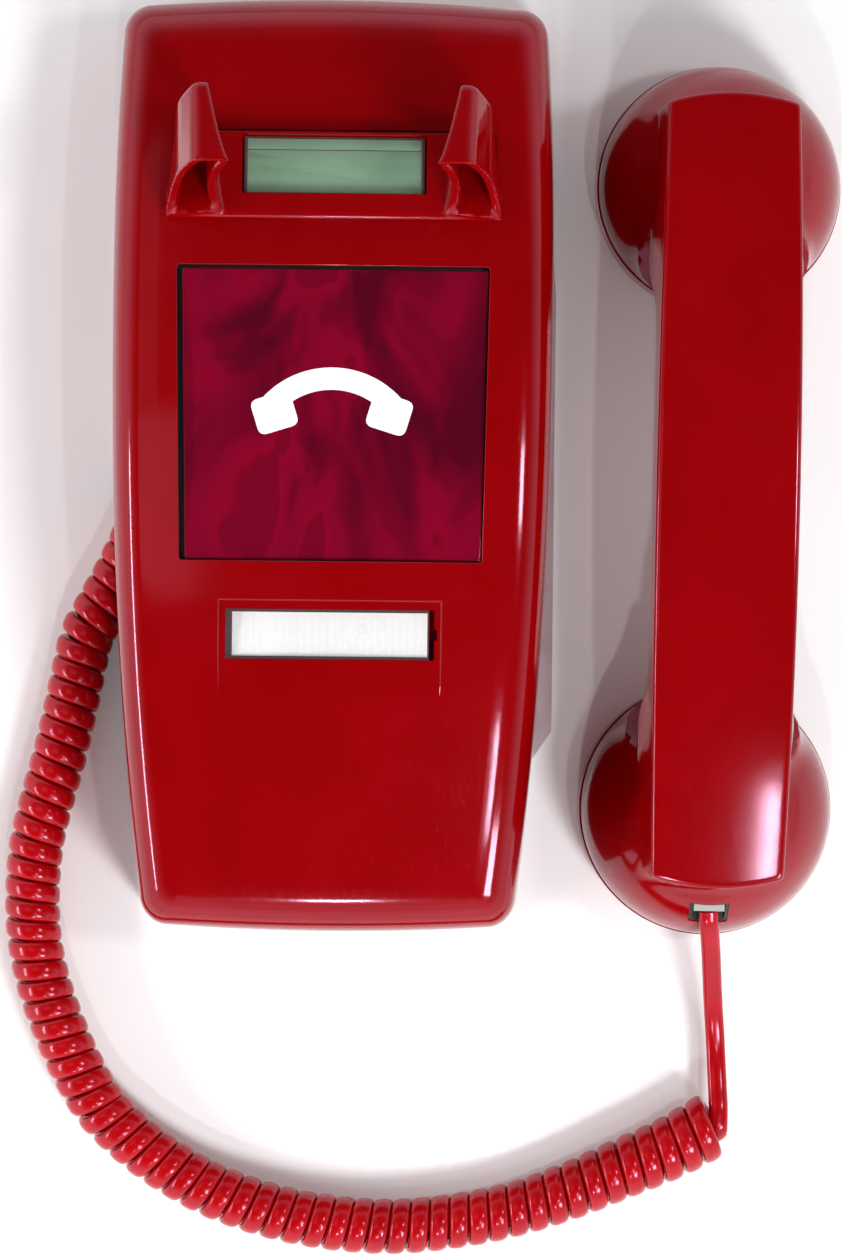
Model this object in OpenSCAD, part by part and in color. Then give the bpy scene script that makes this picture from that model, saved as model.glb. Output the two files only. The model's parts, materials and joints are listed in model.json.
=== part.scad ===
// Compact wall telephone with no dial: a red housing with a blank plate on a steel
// chassis, a forked hook cradle, a corded handset and its curly cord. Millimetres.
// X is to the right, Y up the wall and Z out of the wall; the origin is the centre of
// the back face. The handset lies face down beside the housing.

/* [Housing] */
// Height of the housing along the wall
body_h = 233; // [225:1:240]
// Greatest width of the housing at its base
body_w = 110.6; // [108:0.2:114]
// Depth of the housing at its deepest point
body_d = 62; // [60:1:64]
// Wall thickness of the housing
wall = 2.5; // [2.2:0.1:3]
// How far each side leans in from the base to the front
draft = 3.6; // [3:0.1:4.2]
// Radius of the front edge
edge_r = 8; // [6:0.5:9]
// Radius of the housing's corners seen from the front
corner_r = 8; // [7:0.5:9]

/* [Chassis] */
// Thickness of the chassis plate
plate_t = 1.5; // [1.2:0.1:2]
// Distance between the two wall studs
stud_spacing = 83; // [82.5:0.5:83.5]
// Radius of a keyhole's round entry
keyhole_r = 5; // [4.5:0.1:5.5]
// How far the chassis edge stands out past the housing's widest point on the right
side_strip = 1.1; // [0.8:0.1:1.4]

/* [Hook] */
// Radius of the hook's pivot pin
pin_r = 2; // [1.8:0.1:2.2]
// Radial clearance of a running fit
fit_gap = 0.05; // [0.03:0.01:0.08]
// Height of the hook's pivot above the wall
pivot_z = 28; // [26:1:30]

/* [Handset] */
// Radius of the ear cap
ear_r = 30.8; // [30:0.1:31.5]
// Radius of the mouth cap
mouth_r = 31.8; // [31:0.1:32.5]
// Distance between the centres of the two caps
cap_spacing = 156.8; // [155:0.2:158]
// Height of the handset lying on its caps
handset_h = 62.5; // [61:0.5:64]
// Half-width of the handle at its middle
handle_hw = 17.4; // [16.5:0.1:18]
// Place of the handset's middle beside the housing
handset_x = 95.9; // [95:0.1:98]

/* [Cord] */
// Outer diameter of the coiled stretch
coil_d = 14; // [13.5:0.5:14]
// Width of the flat uncoiled ends
cord_w = 5; // [4.6:0.1:5.2]
// Thickness of the flat uncoiled ends
cord_t = 3.2; // [2.8:0.1:3.4]

/* [Hidden] */
$fn = 48;
eps = 0.01;
skirt_z = plate_t;                    // the skirt stands on the chassis plate
red = "#b01020";
dark_red = "#5c0818";

// ---- Shape of the housing ------------------------------------------------------------
wide_y = 50;                          // where the sides are furthest apart
deep_y = -10;                         // where the front is deepest
top_taper = 2;
bottom_taper = 8.8;
top_fall = 18;
bottom_fall = 14;
front_crown = 1.2;
end_crown = 2;
side_n = 20;                          // straight steps along each side
end_n = 8;                            // straight steps along each end
arc_n = 2;                            // steps in each half corner
ring_side = side_n + 2 * arc_n;
ring_end = end_n + 2 * arc_n;
ring_n = 2 * (ring_side + ring_end);

function half_w(y) = y > wide_y
    ? body_w / 2 - top_taper * pow((y - wide_y) / (body_h / 2 - wide_y), 2)
    : body_w / 2 - bottom_taper * pow((wide_y - y) / (body_h / 2 + wide_y), 2.4);
function front_z(x, y) = body_d - front_crown * pow(x / 50, 2) - (y > deep_y
    ? top_fall * pow((y - deep_y) / (body_h / 2 - deep_y), 2.2)
    : bottom_fall * pow((deep_y - y) / (body_h / 2 + deep_y), 2));
function end_y(x) = body_h / 2 - end_crown * pow(x / 50, 2);

// One quarter of the outline at an inset d, from the middle of a side to the middle of
// an end. s is +1 for the top end and -1 for the bottom end.
function corner_radius(d) = max(corner_r - 0.6 * d, 1);
function side_limit(d, s) = s * (body_h / 2 - d - corner_radius(d) - end_crown);
function arc_point(d, s, a) = let (r = corner_radius(d), y0 = side_limit(d, s),
        x1 = half_w(y0) - d, x0 = x1 - r, y1 = end_y(x0) - d)
    [x0 + r * cos(a), y0 + s * (y1 - abs(y0)) * sin(a)];
function side_point(d, k) = k < arc_n ? arc_point(d, -1, 45 - 45 * k / arc_n)
    : k > side_n + arc_n ? arc_point(d, 1, 45 * (k - side_n - arc_n) / arc_n)
    : let (y = side_limit(d, -1) + (side_limit(d, 1) - side_limit(d, -1)) * (k - arc_n) / side_n)
        [half_w(y) - d, y];
function end_point(d, s, k) = k < arc_n ? arc_point(d, s, 45 + 45 * k / arc_n)
    : k > end_n + arc_n ? mirror_x(end_point(d, s, ring_end - k))
    : let (x = (half_w(side_limit(d, s)) - d - corner_radius(d)) * (1 - 2 * (k - arc_n) / end_n))
        [x, s * (end_y(x) - d)];
function mirror_x(p) = [-p.x, p.y];
// The whole outline, anticlockwise from the middle of the lower right corner.
function outline(d) = [
    for (k = [0:ring_side - 1]) side_point(d, k),
    for (k = [0:ring_end - 1]) end_point(d, 1, k),
    for (k = [0:ring_side - 1]) mirror_x(side_point(d, ring_side - k)),
    for (k = [0:ring_end - 1]) end_point(d, -1, ring_end - k)];

// Rings of the shell: [inset, part of the wall's height, part of the edge radius].
edge_steps = [22.5, 45, 67.5, 90];
function rings(r) = [[0, 0, 0], [draft / 2, 0.5, 0], [draft, 1, 0],
    for (a = edge_steps) [draft + r * (1 - cos(a)), 1, sin(a)]];
function ring_z(z0, drop, r, ring, p) = let (top = front_z(p.x, p.y) - drop - r)
    z0 + (top - z0) * ring[1] + r * ring[2];
function grid_index(i, j) = i == ring_end ? j
    : j == ring_side ? ring_side + ring_end - i
    : i == 0 ? ring_side + ring_end + ring_side - j
    : j == 0 ? (2 * ring_side + ring_end + i) % ring_n : -1;

// A closed solid with the housing's shape, inset all round and standing on z0.
module shell_form(inset, z0) {
    r = edge_r - inset / 2;
    list = rings(r);
    last = len(list) - 1;
    edge = outline(inset + list[last][0]);
    wall_points = [for (ring = list) for (p = outline(inset + ring[0]))
        [p.x, p.y, ring_z(z0, inset, r, ring, p)]];
    inner = [for (j = [1:ring_side - 1]) for (i = [1:ring_end - 1]) let (
            u = i / ring_end, v = j / ring_side,
            low = edge[grid_index(i, 0)], high = edge[grid_index(i, ring_side)],
            left = edge[grid_index(0, j)], right = edge[grid_index(ring_end, j)],
            corners = (1 - u) * (1 - v) * edge[grid_index(0, 0)]
                + u * (1 - v) * edge[grid_index(ring_end, 0)]
                + (1 - u) * v * edge[grid_index(0, ring_side)]
                + u * v * edge[grid_index(ring_end, ring_side)],
            p = (1 - v) * low + v * high + (1 - u) * left + u * right - corners)
        [p.x, p.y, front_z(p.x, p.y) - inset]];
    base = last * ring_n;
    first_inner = len(wall_points);
    function at(i, j) = grid_index(i, j) >= 0 ? base + grid_index(i, j)
        : first_inner + (j - 1) * (ring_end - 1) + i - 1;
    polyhedron(points = concat(wall_points, inner), faces = concat(
        [[for (k = [0:ring_n - 1]) k]],
        [for (m = [0:last - 1]) for (k = [0:ring_n - 1]) let (n = (k + 1) % ring_n)
            each [[m * ring_n + k, (m + 1) * ring_n + k, (m + 1) * ring_n + n],
                [m * ring_n + k, (m + 1) * ring_n + n, m * ring_n + n]]],
        [for (j = [0:ring_side - 1]) for (i = [0:ring_end - 1])
            each [[at(i, j), at(i, j + 1), at(i + 1, j + 1)],
                [at(i, j), at(i + 1, j + 1), at(i + 1, j)]]]));
}

// A box from its low corner to its high corner.
module box(low, high) { translate(low) cube(high - low); }

// ---- Places inside the housing -------------------------------------------------------
hook_y = 68;                          // the pivot, up the wall
surface_tilt = -10;                   // slope of the front behind the cradle
cradle_origin = [0, 69, 55.2];
opening_low = [-39, 60.8];
opening_high = [39, 80.5];
plate_tilt = -2.3;                    // slope of the blank plate
plate_centre = [0, 11.6, 58.6];
plate_h = 71;
plate_half_top = 37.6;
plate_half_low = 36.2;
card_y = -41.8;                       // middle of the lower number card
card_window = [50.4, 12, 1.8];
card_floor = 57.9;                    // floor of the card's pocket
bay_low = [-70, -51, -1];             // cut-out that the curly cord leaves by
bay_high = [-40.5, 1, 16.2];
boss_x = 37;
boss_y = -98;
boss_z = 46;
screw_r = 1.5;
wheel_pos = [-14, -103.9, 11.5];      // the wheel's rim lies just inside the end wall
wheel_r = 11.3;

module plate_outline(grow) {
    polygon([[-plate_half_low - grow, -plate_h / 2 - grow], [plate_half_low + grow, -plate_h / 2 - grow],
        [plate_half_top + grow, plate_h / 2 + grow], [-plate_half_top - grow, plate_h / 2 + grow]]);
}

module housing() {
    color(red) difference() {
        union() {
            difference() {
                shell_form(0, skirt_z);
                shell_form(wall, -1);
            }
            // pocket that holds the lower number card
            box([-28.5, card_y - 9, 51.5], [28.5, card_y + 9, 59]);
            for (x = [-boss_x, boss_x]) translate([x, boss_y, plate_t]) cylinder(r = 4, h = boss_z);
        }
        // opening for the cradle
        box([opening_low.x, opening_low.y, 35], [opening_high.x, opening_high.y, 80]);
        // opening for the blank plate
        translate(plate_centre) rotate([plate_tilt, 0, 0]) translate([0, 0, -8])
            linear_extrude(20) plate_outline(0.3);
        // pocket of the lower number card, its release notch and its screw hole
        box([-card_window.x / 2 - 0.1, card_y - card_window.y / 2 - 0.1, card_floor],
            [card_window.x / 2 + 0.1, card_y + card_window.y / 2 + 0.1, 70]);
        box([card_window.x / 2 - 1, card_y - 1.5, card_floor], [card_window.x / 2 + 1.2, card_y + 1.5, 70]);
        box(bay_low, bay_high);
        box([wheel_pos.x - 11, -130, wheel_pos.z - 0.8], [wheel_pos.x + 11, -105, wheel_pos.z + 3.8]);
        for (x = [-boss_x, boss_x]) translate([x, boss_y, 0]) cylinder(r = screw_r + 0.1, h = 14);
    }
}

// ---- Chassis ---------------------------------------------------------------------------
strip_top = 72;                       // ends of the straight strip down the right edge
strip_low = -66;
rail_x = 38;
wall_jack_low = [-14, -20];
wall_jack_high = [14, 20];

module keyhole(y) {
    translate([0, y, -1]) cylinder(r = keyhole_r, h = plate_t + 2);
    box([-2.2, y, -1], [2.2, y + 11, plate_t + 1]);
}

module chassis() {
    side_x = body_w / 2 + side_strip;
    color("#8b8788") difference() {
        union() {
            linear_extrude(plate_t) union() {
                polygon([for (p = outline(0.6)) p]);
                polygon([[0, strip_low - 9], [half_w(strip_low - 9) - 0.6, strip_low - 9],
                    [side_x, strip_low], [side_x, strip_top - 27], [half_w(strip_top) - 0.3, strip_top],
                    [0, strip_top]]);
            }
            for (x = [-rail_x, rail_x - plate_t]) box([x, -90, 0], [x + plate_t, 50, 12]);
        }
        for (s = [-1, 1]) keyhole(s * stud_spacing / 2);
        box([wall_jack_low.x, wall_jack_low.y, -1], [wall_jack_high.x, wall_jack_high.y, 2 * plate_t]);
        box(bay_low, [bay_high.x, bay_high.y, 5]);
        for (x = [-boss_x, boss_x]) translate([x, boss_y, -1]) cylinder(r = screw_r + 0.2, h = 5);
        for (x = [-boss_x, boss_x]) translate([x, boss_y, -1]) cylinder(r = 3.4, h = 1.7);
    }
}

module housing_screws() {
    color("silver") for (x = [-boss_x, boss_x]) translate([x, boss_y, 0.1]) {
        difference() {
            cylinder(r = 3, h = 0.6);
            box([-2.2, -0.35, -1], [2.2, 0.35, 0.3]);
        }
        translate([0, 0, 0.3]) cylinder(r = screw_r, h = 12);
    }
}

// ---- Hook cradle -----------------------------------------------------------------------
horn_wall = 2.1;
horn_floor = 3;
horn_n = 6;
// Outline of a horn's section at its open lower rim and at its closed upper end.
horn_rim = [[40.6, 58.8, 59.2], [40.5, 60, 61.5], [39, 64, 70], [36.6, 66.8, 83], [33.5, 68.5, 94],
    [24, 68.5, 94], [26.4, 67, 84], [28, 65, 73], [27.8, 62.4, 64.5], [26.6, 59.6, 59.2]];
horn_end = [[37.8, 84.8, 54.4], [38, 85.2, 60], [38, 85.6, 69], [36.8, 87, 81], [33.8, 87.8, 88],
    [29.6, 87.8, 88], [29.8, 87.2, 80], [30, 86.4, 70], [30.2, 85.6, 60], [30.2, 84.8, 54.4]];

function horn_section(t) = [for (i = [0:len(horn_rim) - 1])
    let (e = i > 4 ? pow(max(t, 0), 0.75) : t, a = horn_rim[i], b = horn_end[i])
    [a.x + (b.x - a.x) * e, a.y + (b.y - a.y) * t, a.z + (b.z - a.z) * t]];
// The same section moved inwards by the wall, towards its own middle line.
function horn_hollow(t) = let (s = horn_section(t), n = len(s)) [for (i = [0:n - 1])
    let (mid = (s[i].x + s[n - 1 - i].x) / 2, half = abs(s[i].x - mid),
        keep = max(half - horn_wall, 0.25), side = s[i].x > mid ? 1 : -1,
        down = (i == 4 || i == 5) ? horn_wall : (i == 0 || i == n - 1) ? -horn_floor : 0)
    [mid + side * keep, s[i].y, s[i].z - down]];

// Faces of a skin through rows of n points each, starting at point number base.
function skin_faces(n, rows, base, inward = false) = [for (m = [0:rows - 2]) for (k = [0:n - 1])
    let (q = (k + 1) % n, a = base + m * n + k, b = base + m * n + q)
    each inward ? [[a, b + n, b], [a, a + n, b + n]] : [[a, b, b + n], [a, b + n, a + n]]];
// A fan of triangles over the row that starts at point number base.
function fan_faces(n, base, flip = false) = [for (k = [1:n - 2])
    flip ? [base, base + k + 1, base + k] : [base, base + k, base + k + 1]];
// Faces of a loft whose two ends are closed by fans, so that they need not be flat.
function fan_ends(n, rows) = concat(fan_faces(n, 0, true), skin_faces(n, rows, 0),
    fan_faces(n, (rows - 1) * n));
module section_loft(sections) {
    n = len(sections[0]);
    polyhedron(points = [for (s = sections) each s], faces = fan_ends(n, len(sections)));
}

// A closed outer skin and an open hollow, joined round the horn's lower rim.
module horn() {
    n = len(horn_rim);
    outer = [for (i = [0:horn_n]) horn_section(i / horn_n)];
    hollow = [for (i = [0:horn_n - 1]) horn_hollow(i / horn_n)];
    base = n * len(outer);
    polyhedron(points = [for (s = concat(outer, hollow)) each s],
        faces = concat(
            skin_faces(n, len(outer), 0), fan_faces(n, base - n),
            skin_faces(n, len(hollow), base, true),
            fan_faces(n, base + n * (len(hollow) - 1), true),
            [for (k = [0:n - 1]) let (q = (k + 1) % n)
                each [[k, base + k, base + q], [k, base + q, q]]]));
}

card_low = [-22.2, -4.9];             // window pocket in the cradle, in its tilted frame
card_high = [22.2, 9.7];
card_seat = 0.6;
slab_low = 1.6;                       // the cradle's face, above the front of the housing
slab_high = 3.4;
cradle_half = 40.6;
cradle_screw_xs = [-20, 20];
crossbar_z = 45;

module tilted_plate() { translate(cradle_origin) rotate([surface_tilt, 0, 0]) children(); }

module cradle() {
    color(red) {
        difference() {
            union() {
                tilted_plate() difference() {
                    union() {
                        box([-cradle_half, -9.5, slab_low], [cradle_half, 10.6, slab_high]);
                        translate([0.02 - cradle_half, -9.5, (slab_low + slab_high) / 2]) rotate([0, 90, 0])
                            cylinder(d = slab_high - slab_low - 0.04, h = 2 * cradle_half - 0.04, $fn = 12);
                        box([-38, -4.9, -6], [38, 10.6, 2]);
                        for (m = [0, 1]) mirror([m, 0, 0])
                            box([29.4, 8, slab_low], [38.4, 16, slab_high - 0.4]);
                    }
                    box([card_low.x, card_low.y, card_seat], [card_high.x, card_high.y, 8]);
                }
                for (m = [0, 1]) mirror([m, 0, 0]) horn();
                for (x = cradle_screw_xs) translate([x, hook_y, crossbar_z + 1.5]) cylinder(r = 3.5, h = 5);
            }
            for (x = cradle_screw_xs) translate([x, hook_y, 40]) cylinder(r = 1.2, h = 12);
        }
    }
}

module upper_number_card() {
    color("#8fa393") tilted_plate()
        box([card_low.x + 0.2, card_low.y + 0.2, card_seat],
            [card_high.x - 0.2, card_high.y - 0.2, card_seat + 0.4]);
}

module upper_card_window() {
    color("#c8d4cc", 0.4) tilted_plate()
        box([card_low.x + 0.4, card_low.y + 0.4, card_seat + 0.4],
            [card_high.x - 0.4, card_high.y - 0.4, card_seat + 1.8]);
}

arm_x = 24;
module hook_lever() {
    color("silver") difference() {
        union() {
            for (s = [-1, 1]) translate([s * arm_x - 0.75, 0, 0]) {
                box([0, hook_y - 5, pivot_z - 5], [1.5, hook_y + 5, crossbar_z + 1.5]);
            }
            box([-arm_x - 0.75, hook_y - 7, crossbar_z], [arm_x + 0.75, hook_y + 7, crossbar_z + 1.5]);
            box([10, hook_y - 7, 39.5], [arm_x, hook_y - 5.5, crossbar_z + 1]);
        }
        translate([-40, hook_y, pivot_z]) rotate([0, 90, 0]) cylinder(r = pin_r + fit_gap, h = 80);
        for (x = cradle_screw_xs) translate([x, hook_y, 40]) cylinder(r = 1.4, h = 12);
    }
}

module cradle_screws() {
    color("silver") for (x = cradle_screw_xs) translate([x, hook_y, crossbar_z - 1.4]) {
        cylinder(r = 2.6, h = 1.4);
        cylinder(r = 1.2, h = 7);
    }
}

lug_x = 28;
module hook_bracket() {
    color("#b9b9b4") difference() {
        union() {
            box([-lug_x - 1.5, hook_y - 9, plate_t], [lug_x + 1.5, hook_y + 9, plate_t + 1.5]);
            for (s = [-1, 1]) translate([s * (lug_x + 0.75), hook_y, 0])
                box([-0.75, -8, plate_t], [0.75, 8, pivot_z + 5]);
            box([lug_x, 37, 24], [lug_x + 1.5, hook_y - 8 + eps, pivot_z + 5]);
            box([8, 37, pivot_z + 3.5], [lug_x + eps, 54, pivot_z + 5]);
        }
        translate([-40, hook_y, pivot_z]) rotate([0, 90, 0]) cylinder(r = pin_r, h = 80);
    }
}

module hook_pivot_pin() {
    color("silver") translate([-lug_x - 2.5, hook_y, pivot_z]) rotate([0, 90, 0]) {
        cylinder(r = pin_r, h = 2 * lug_x + 5);
        cylinder(r = pin_r + 1, h = 1);
    }
}

// Return spring on the pin, with one leg on the bracket and one on the lever.
module hook_spring() {
    color("dimgray") translate([-14, hook_y, pivot_z]) {
        rotate([0, 90, 0]) difference() {
            cylinder(r = 4, h = 12);
            translate([0, 0, -1]) cylinder(r = 2.8, h = 14);
        }
        box([0, -4, -pivot_z + 2 * plate_t + 0.1], [1, -3, 0]);
        box([11, -4, 0], [12, -3, crossbar_z - pivot_z - 0.5]);
    }
}

switch_low = [9, 38, 33];
switch_high = [27, 54, 46];
plunger = [18, 54, 43];
module hookswitch() {
    color("#2c2b2a") difference() {
        box(switch_low, switch_high);
        translate([plunger.x, plunger.y - 8, plunger.z]) rotate([-90, 0, 0]) cylinder(r = 2.05, h = 10);
    }
}

module switch_plunger() {
    color("ivory") translate([plunger.x, plunger.y - 6, plunger.z]) rotate([-90, 0, 0]) {
        cylinder(r = 2, h = 12.4);
        translate([0, 0, 10.9]) cylinder(r = 2.4, h = 1.5);
    }
}

// ---- Front plates and cards --------------------------------------------------------------
module plate_frame() { translate(plate_centre) rotate([plate_tilt, 0, 0]) children(); }

module blank_plate() {
    color(dark_red, 0.85) plate_frame() translate([0, 0, -2]) linear_extrude(2.4) plate_outline(-0.2);
}

// A generic handset pictogram: a bar with two rounded ends.
symbol_w = 39;
symbol_h = 15.5;
module emergency_symbol() {
    bar = 5.2;
    color("white") plate_frame() translate([0, 2.9, 0.4]) linear_extrude(0.15) union() {
        intersection() {
            difference() {
                translate([0, -14.5]) circle(r = 22);
                translate([0, -14.5]) circle(r = 22 - bar);
            }
            translate([-symbol_w / 2 + 4, -4]) square([symbol_w - 8, symbol_h]);
        }
        for (s = [-1, 1]) translate([s * (symbol_w / 2 - 5.5), -symbol_h / 2 + 4]) difference() {
            translate([-5.5, -4]) square([11, 8.6]);
            translate([-6, -4.5]) square([12, 2]);
        }
    }
}

// Frame that holds the blank plate against the inside of the front.
retainer_screw_places = [for (x = [-39.4, 39.4], y = [-31, 31]) [x, y]];
module plate_retainer() {
    color("#3a3a3c") plate_frame() translate([0, 0, -3.6]) difference() {
        linear_extrude(1.6) difference() {
            plate_outline(5.4);
            plate_outline(-6);
        }
        for (p = retainer_screw_places) translate([p.x, p.y, -1]) cylinder(r = 1.1, h = 4);
    }
}

module retainer_screws() {
    color("silver") plate_frame() for (p = retainer_screw_places) translate([p.x, p.y, -5]) {
        cylinder(r = 2.2, h = 1.4);
        cylinder(r = 1, h = 4.9);
    }
}

card_t = 0.3;
module lower_number_card() {
    color("white") box([-23.6, card_y - 5.3, card_floor], [23.6, card_y + 5.3, card_floor + card_t]);
}

module lower_card_window() {
    color("#eef2f2", 0.35) box([-card_window.x / 2, card_y - card_window.y / 2, card_floor + card_t],
        [card_window.x / 2 - 1.2, card_y + card_window.y / 2, card_floor + card_t + card_window.z]);
}

// ---- Circuit -----------------------------------------------------------------------------
board_z = 20;
board_low = [-34, -36];
board_high = [34, 33];
standoffs = [for (x = [-30, 30], y = [-32, 29]) [x, y]];
module network_board() {
    color("#6b5a2e") difference() {
        box([board_low.x, board_low.y, board_z], [board_high.x, board_high.y, board_z + 1.6]);
        for (p = standoffs) translate([p.x, p.y, board_z - 1]) cylinder(r = 1.6, h = 4);
    }
}

module board_standoffs() {
    color("goldenrod") for (p = standoffs) translate([p.x, p.y, plate_t]) {
        cylinder(r = 3, h = board_z - plate_t);
        cylinder(r = 1.5, h = board_z - plate_t + 4);
    }
}

module transformer() {
    top = board_z + 1.6;
    color("#54504a") box([-28, -22, top], [-6, 2, top + 14]);
    color("#a06a2c") for (s = [-1, 1]) translate([-17, -10 + s * 12, top + 7])
        rotate([s * -90, 0, 0]) cylinder(r = 6, h = 3.4);
}

module capacitors() {
    color("#c9a24a") for (y = [-22, -6]) translate([2, y, board_z + 1.6 + 6.5]) rotate([0, 90, 0]) {
        cylinder(r = 6.5, h = 26);
        translate([0, 0, -2]) cylinder(r = 0.5, h = 30, $fn = 16);
    }
}

terminals = [for (i = [0:4], j = [0:1]) [-22 + 11 * i, 13 + 9 * j]];
module terminal_block() {
    color("#efe9dc") difference() {
        box([-28, 8, board_z + 1.6], [28, 27, board_z + 6]);
        for (p = terminals) translate([p.x, p.y, board_z + 3]) cylinder(r = 1.5, h = 5);
    }
}

module terminal_screws() {
    color("gold") for (p = terminals) translate([p.x, p.y, board_z + 3.2]) {
        cylinder(r = 1.5, h = 4);
        translate([0, 0, 2.9]) difference() {
            cylinder(r = 2.8, h = 1.6);
            box([-3, -0.4, 0.8], [3, 0.4, 2]);
        }
    }
}

// ---- Ringer --------------------------------------------------------------------------------
gong_pos = [18, -70];
gong_r = 17;
clapper_pos = [-8, -54];
ball_y = -74;
coil_pos = [-26, -88, 15];
module ringer_frame() {
    color("#a9a9a2") difference() {
        union() {
            box([-36.3, -93, plate_t], [-4, -50, plate_t + 1.5]);
            for (y = [-92.5, -61]) box([-35.8, y, plate_t], [-16, y + 1.5, 25]);
        }
        for (y = [-93, -62]) translate([coil_pos.x, y, coil_pos.z])
            rotate([-90, 0, 0]) cylinder(r = 3, h = 3);
        translate([clapper_pos.x, clapper_pos.y, 0]) cylinder(r = 1.5, h = 8);
    }
}

module ringer_coil() {
    color("#8c4a1e") translate([coil_pos.x, -91, coil_pos.z]) rotate([-90, 0, 0]) cylinder(r = 8.5, h = 30);
    color("silver") translate([coil_pos.x, -94, coil_pos.z]) rotate([-90, 0, 0]) cylinder(r = 3, h = 36);
}

module ringer_gong() {
    color("#b5953f") translate([gong_pos.x, gong_pos.y, 9]) difference() {
        rotate_extrude() polygon(concat(
            [[2.2, 12.4], [2.2, 14]],
            [for (a = [80:-10:0]) [gong_r * cos(a) * 0.35 + gong_r * 0.65, 14 * sin(a)]],
            [[gong_r - 1.6, 0]],
            [for (a = [0:10:80]) [(gong_r - 1.6) * cos(a) * 0.35 + (gong_r - 1.6) * 0.65, 12.4 * sin(a)]]));
    }
}

module gong_post() {
    color("silver") translate([gong_pos.x, gong_pos.y, plate_t]) {
        cylinder(r = 4, h = 19.6);
        cylinder(r = 2, h = 26);
        translate([0, 0, 21.5]) cylinder(r = 4.5, h = 2.5);
    }
}

module clapper() {
    color("#c8c8c0") difference() {
        union() {
            translate([clapper_pos.x, clapper_pos.y, 13]) cylinder(r = 3.5, h = 5);
            box([clapper_pos.x - 1, ball_y, 14.5], [clapper_pos.x + 1, clapper_pos.y - 2, 16.5]);
            box([clapper_pos.x - 11, clapper_pos.y - 1, 14], [clapper_pos.x - 2, clapper_pos.y + 1, 17]);
            translate([clapper_pos.x + 3, ball_y, 15.5]) sphere(r = 3);
            box([clapper_pos.x, ball_y - 1, 14.5], [clapper_pos.x + 3, ball_y + 1, 16.5]);
        }
        translate([clapper_pos.x, clapper_pos.y, 12]) cylinder(r = 1.5 + fit_gap, h = 8);
    }
}

module clapper_pin() {
    color("silver") translate([clapper_pos.x, clapper_pos.y, plate_t]) {
        cylinder(r = 1.5, h = 18);
        translate([0, 0, 1.5]) cylinder(r = 2.8, h = 9.4);
    }
}

module volume_wheel() {
    color("#d8d2c4") translate(wheel_pos) difference() {
        union() {
            cylinder(r = wheel_r, h = 3);
            translate([0, 0, 3]) cylinder(r = 4, h = 3);
        }
        translate([0, 0, -1]) cylinder(r = 1.5 + fit_gap, h = 9);
        for (a = [0:20:340]) rotate(a) translate([wheel_r + 0.5, 0, -1]) cylinder(r = 1, h = 5, $fn = 16);
    }
}

module volume_wheel_pin() {
    color("silver") translate([wheel_pos.x, wheel_pos.y, plate_t]) {
        cylinder(r = 1.5, h = 18);
        cylinder(r = 3.5, h = wheel_pos.z - plate_t - 0.3);
    }
}

// ---- Line connection and the cord's jack ------------------------------------------------------
module line_plug_bracket() {
    color("#2b2a2c") difference() {
        box([-17, -23, plate_t], [17, 23, 18.5]);
        box([-15, -21, -1], [15, 21, 16.5]);
    }
}

module line_plug() {
    color("#d9d6cc", 0.6) {
        box([-5.8, -8, 8], [5.8, 6, 14.6]);
        box([-4.8, 6, 8.6], [4.8, 21, 14]);
        box([-3.2, -7, 5.4], [3.2, 2, 6.8]);
        box([-3.2, -8, 5.4], [3.2, -6.6, 9]);
    }
}

jack_pos = [-46, 0, 8.2];
module base_handset_jack() {
    color("#26262a") translate(jack_pos) difference() {
        box([-5.1, 1.2, plate_t - jack_pos.z], [5.1, 19, 7.6]);
        box([-4.05, 0, -3.6], [4.05, 16, 3.6]);
    }
}

// A modular plug pointing along +Y from its cord end at the origin.
module cord_plug() {
    difference() {
        box([-3.8, -1, -3.3], [3.8, 12, 2.2]);
        for (i = [-1.5:1:1.5]) box([i * 1.3 - 0.25, 8, 1.4], [i * 1.3 + 0.25, 13, 3]);
    }
    box([-1.6, 1, 2.5], [1.6, 11, 3.3]);
    box([-1.6, 9.4, 2], [1.6, 11, 3.3]);
}

module base_cord_plug() { color("#dcdcd4", 0.6) translate(jack_pos + [0, 3.4, 0]) cord_plug(); }

// A thin insulated lead swept along its points, one tube of six sides.
module lead(route, r) { tube(route, r, r, 6); }

module wiring_leads() {
    color("#c23a2c") lead([[-46, 19.2, 8.2], [-46, 26, 9], [-42, 33, 16], [-34, 34, 24], [-26, 30, 28],
        [-23, 25, 28.3]], 0.8);
    color("#2f7d3a") lead([[-26, -70, 24.4], [-27, -62, 26.8], [-30, -54, 26], [-36, -44, 24],
        [-38, -30, 25], [-38, -5, 27.5], [-36, 10, 28.4], [-30, 16, 28.6], [-24.6, 14.5, 28.3]], 0.8);
    color("#d8b12c") lead([[0, 23.3, 12], [1, 27, 12], [4, 31, 13], [10, 37, 18], [12, 36, 25],
        [11, 30, 28.4], [11, 25, 28.3]], 0.8);
    color("#20202c") lead([[18, 37.7, 36], [18.4, 34, 35.4], [21, 28, 31], [22, 25, 28.6]], 0.8);
}

// ---- Sweeps ---------------------------------------------------------------------------------
function unit(v) = v / norm(v);
function tangent(p, i) = unit(p[min(i + 1, len(p) - 1)] - p[max(i - 1, 0)]);
// A smooth curve through the points of a route, in steps of the same count per span.
function spline_at(p, i, t) = let (n = len(p) - 1, a = p[max(i - 1, 0)], b = p[i], c = p[i + 1],
        d = p[min(i + 2, n)])
    0.5 * (2 * b + (c - a) * t + (2 * a - 5 * b + 4 * c - d) * t * t
        + (3 * b - a - 3 * c + d) * t * t * t);
function smooth_route(p, steps) = [for (i = [0:len(p) - 2]) for (k = [0:steps - 1])
    spline_at(p, i, k / steps), p[len(p) - 1]];

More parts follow.
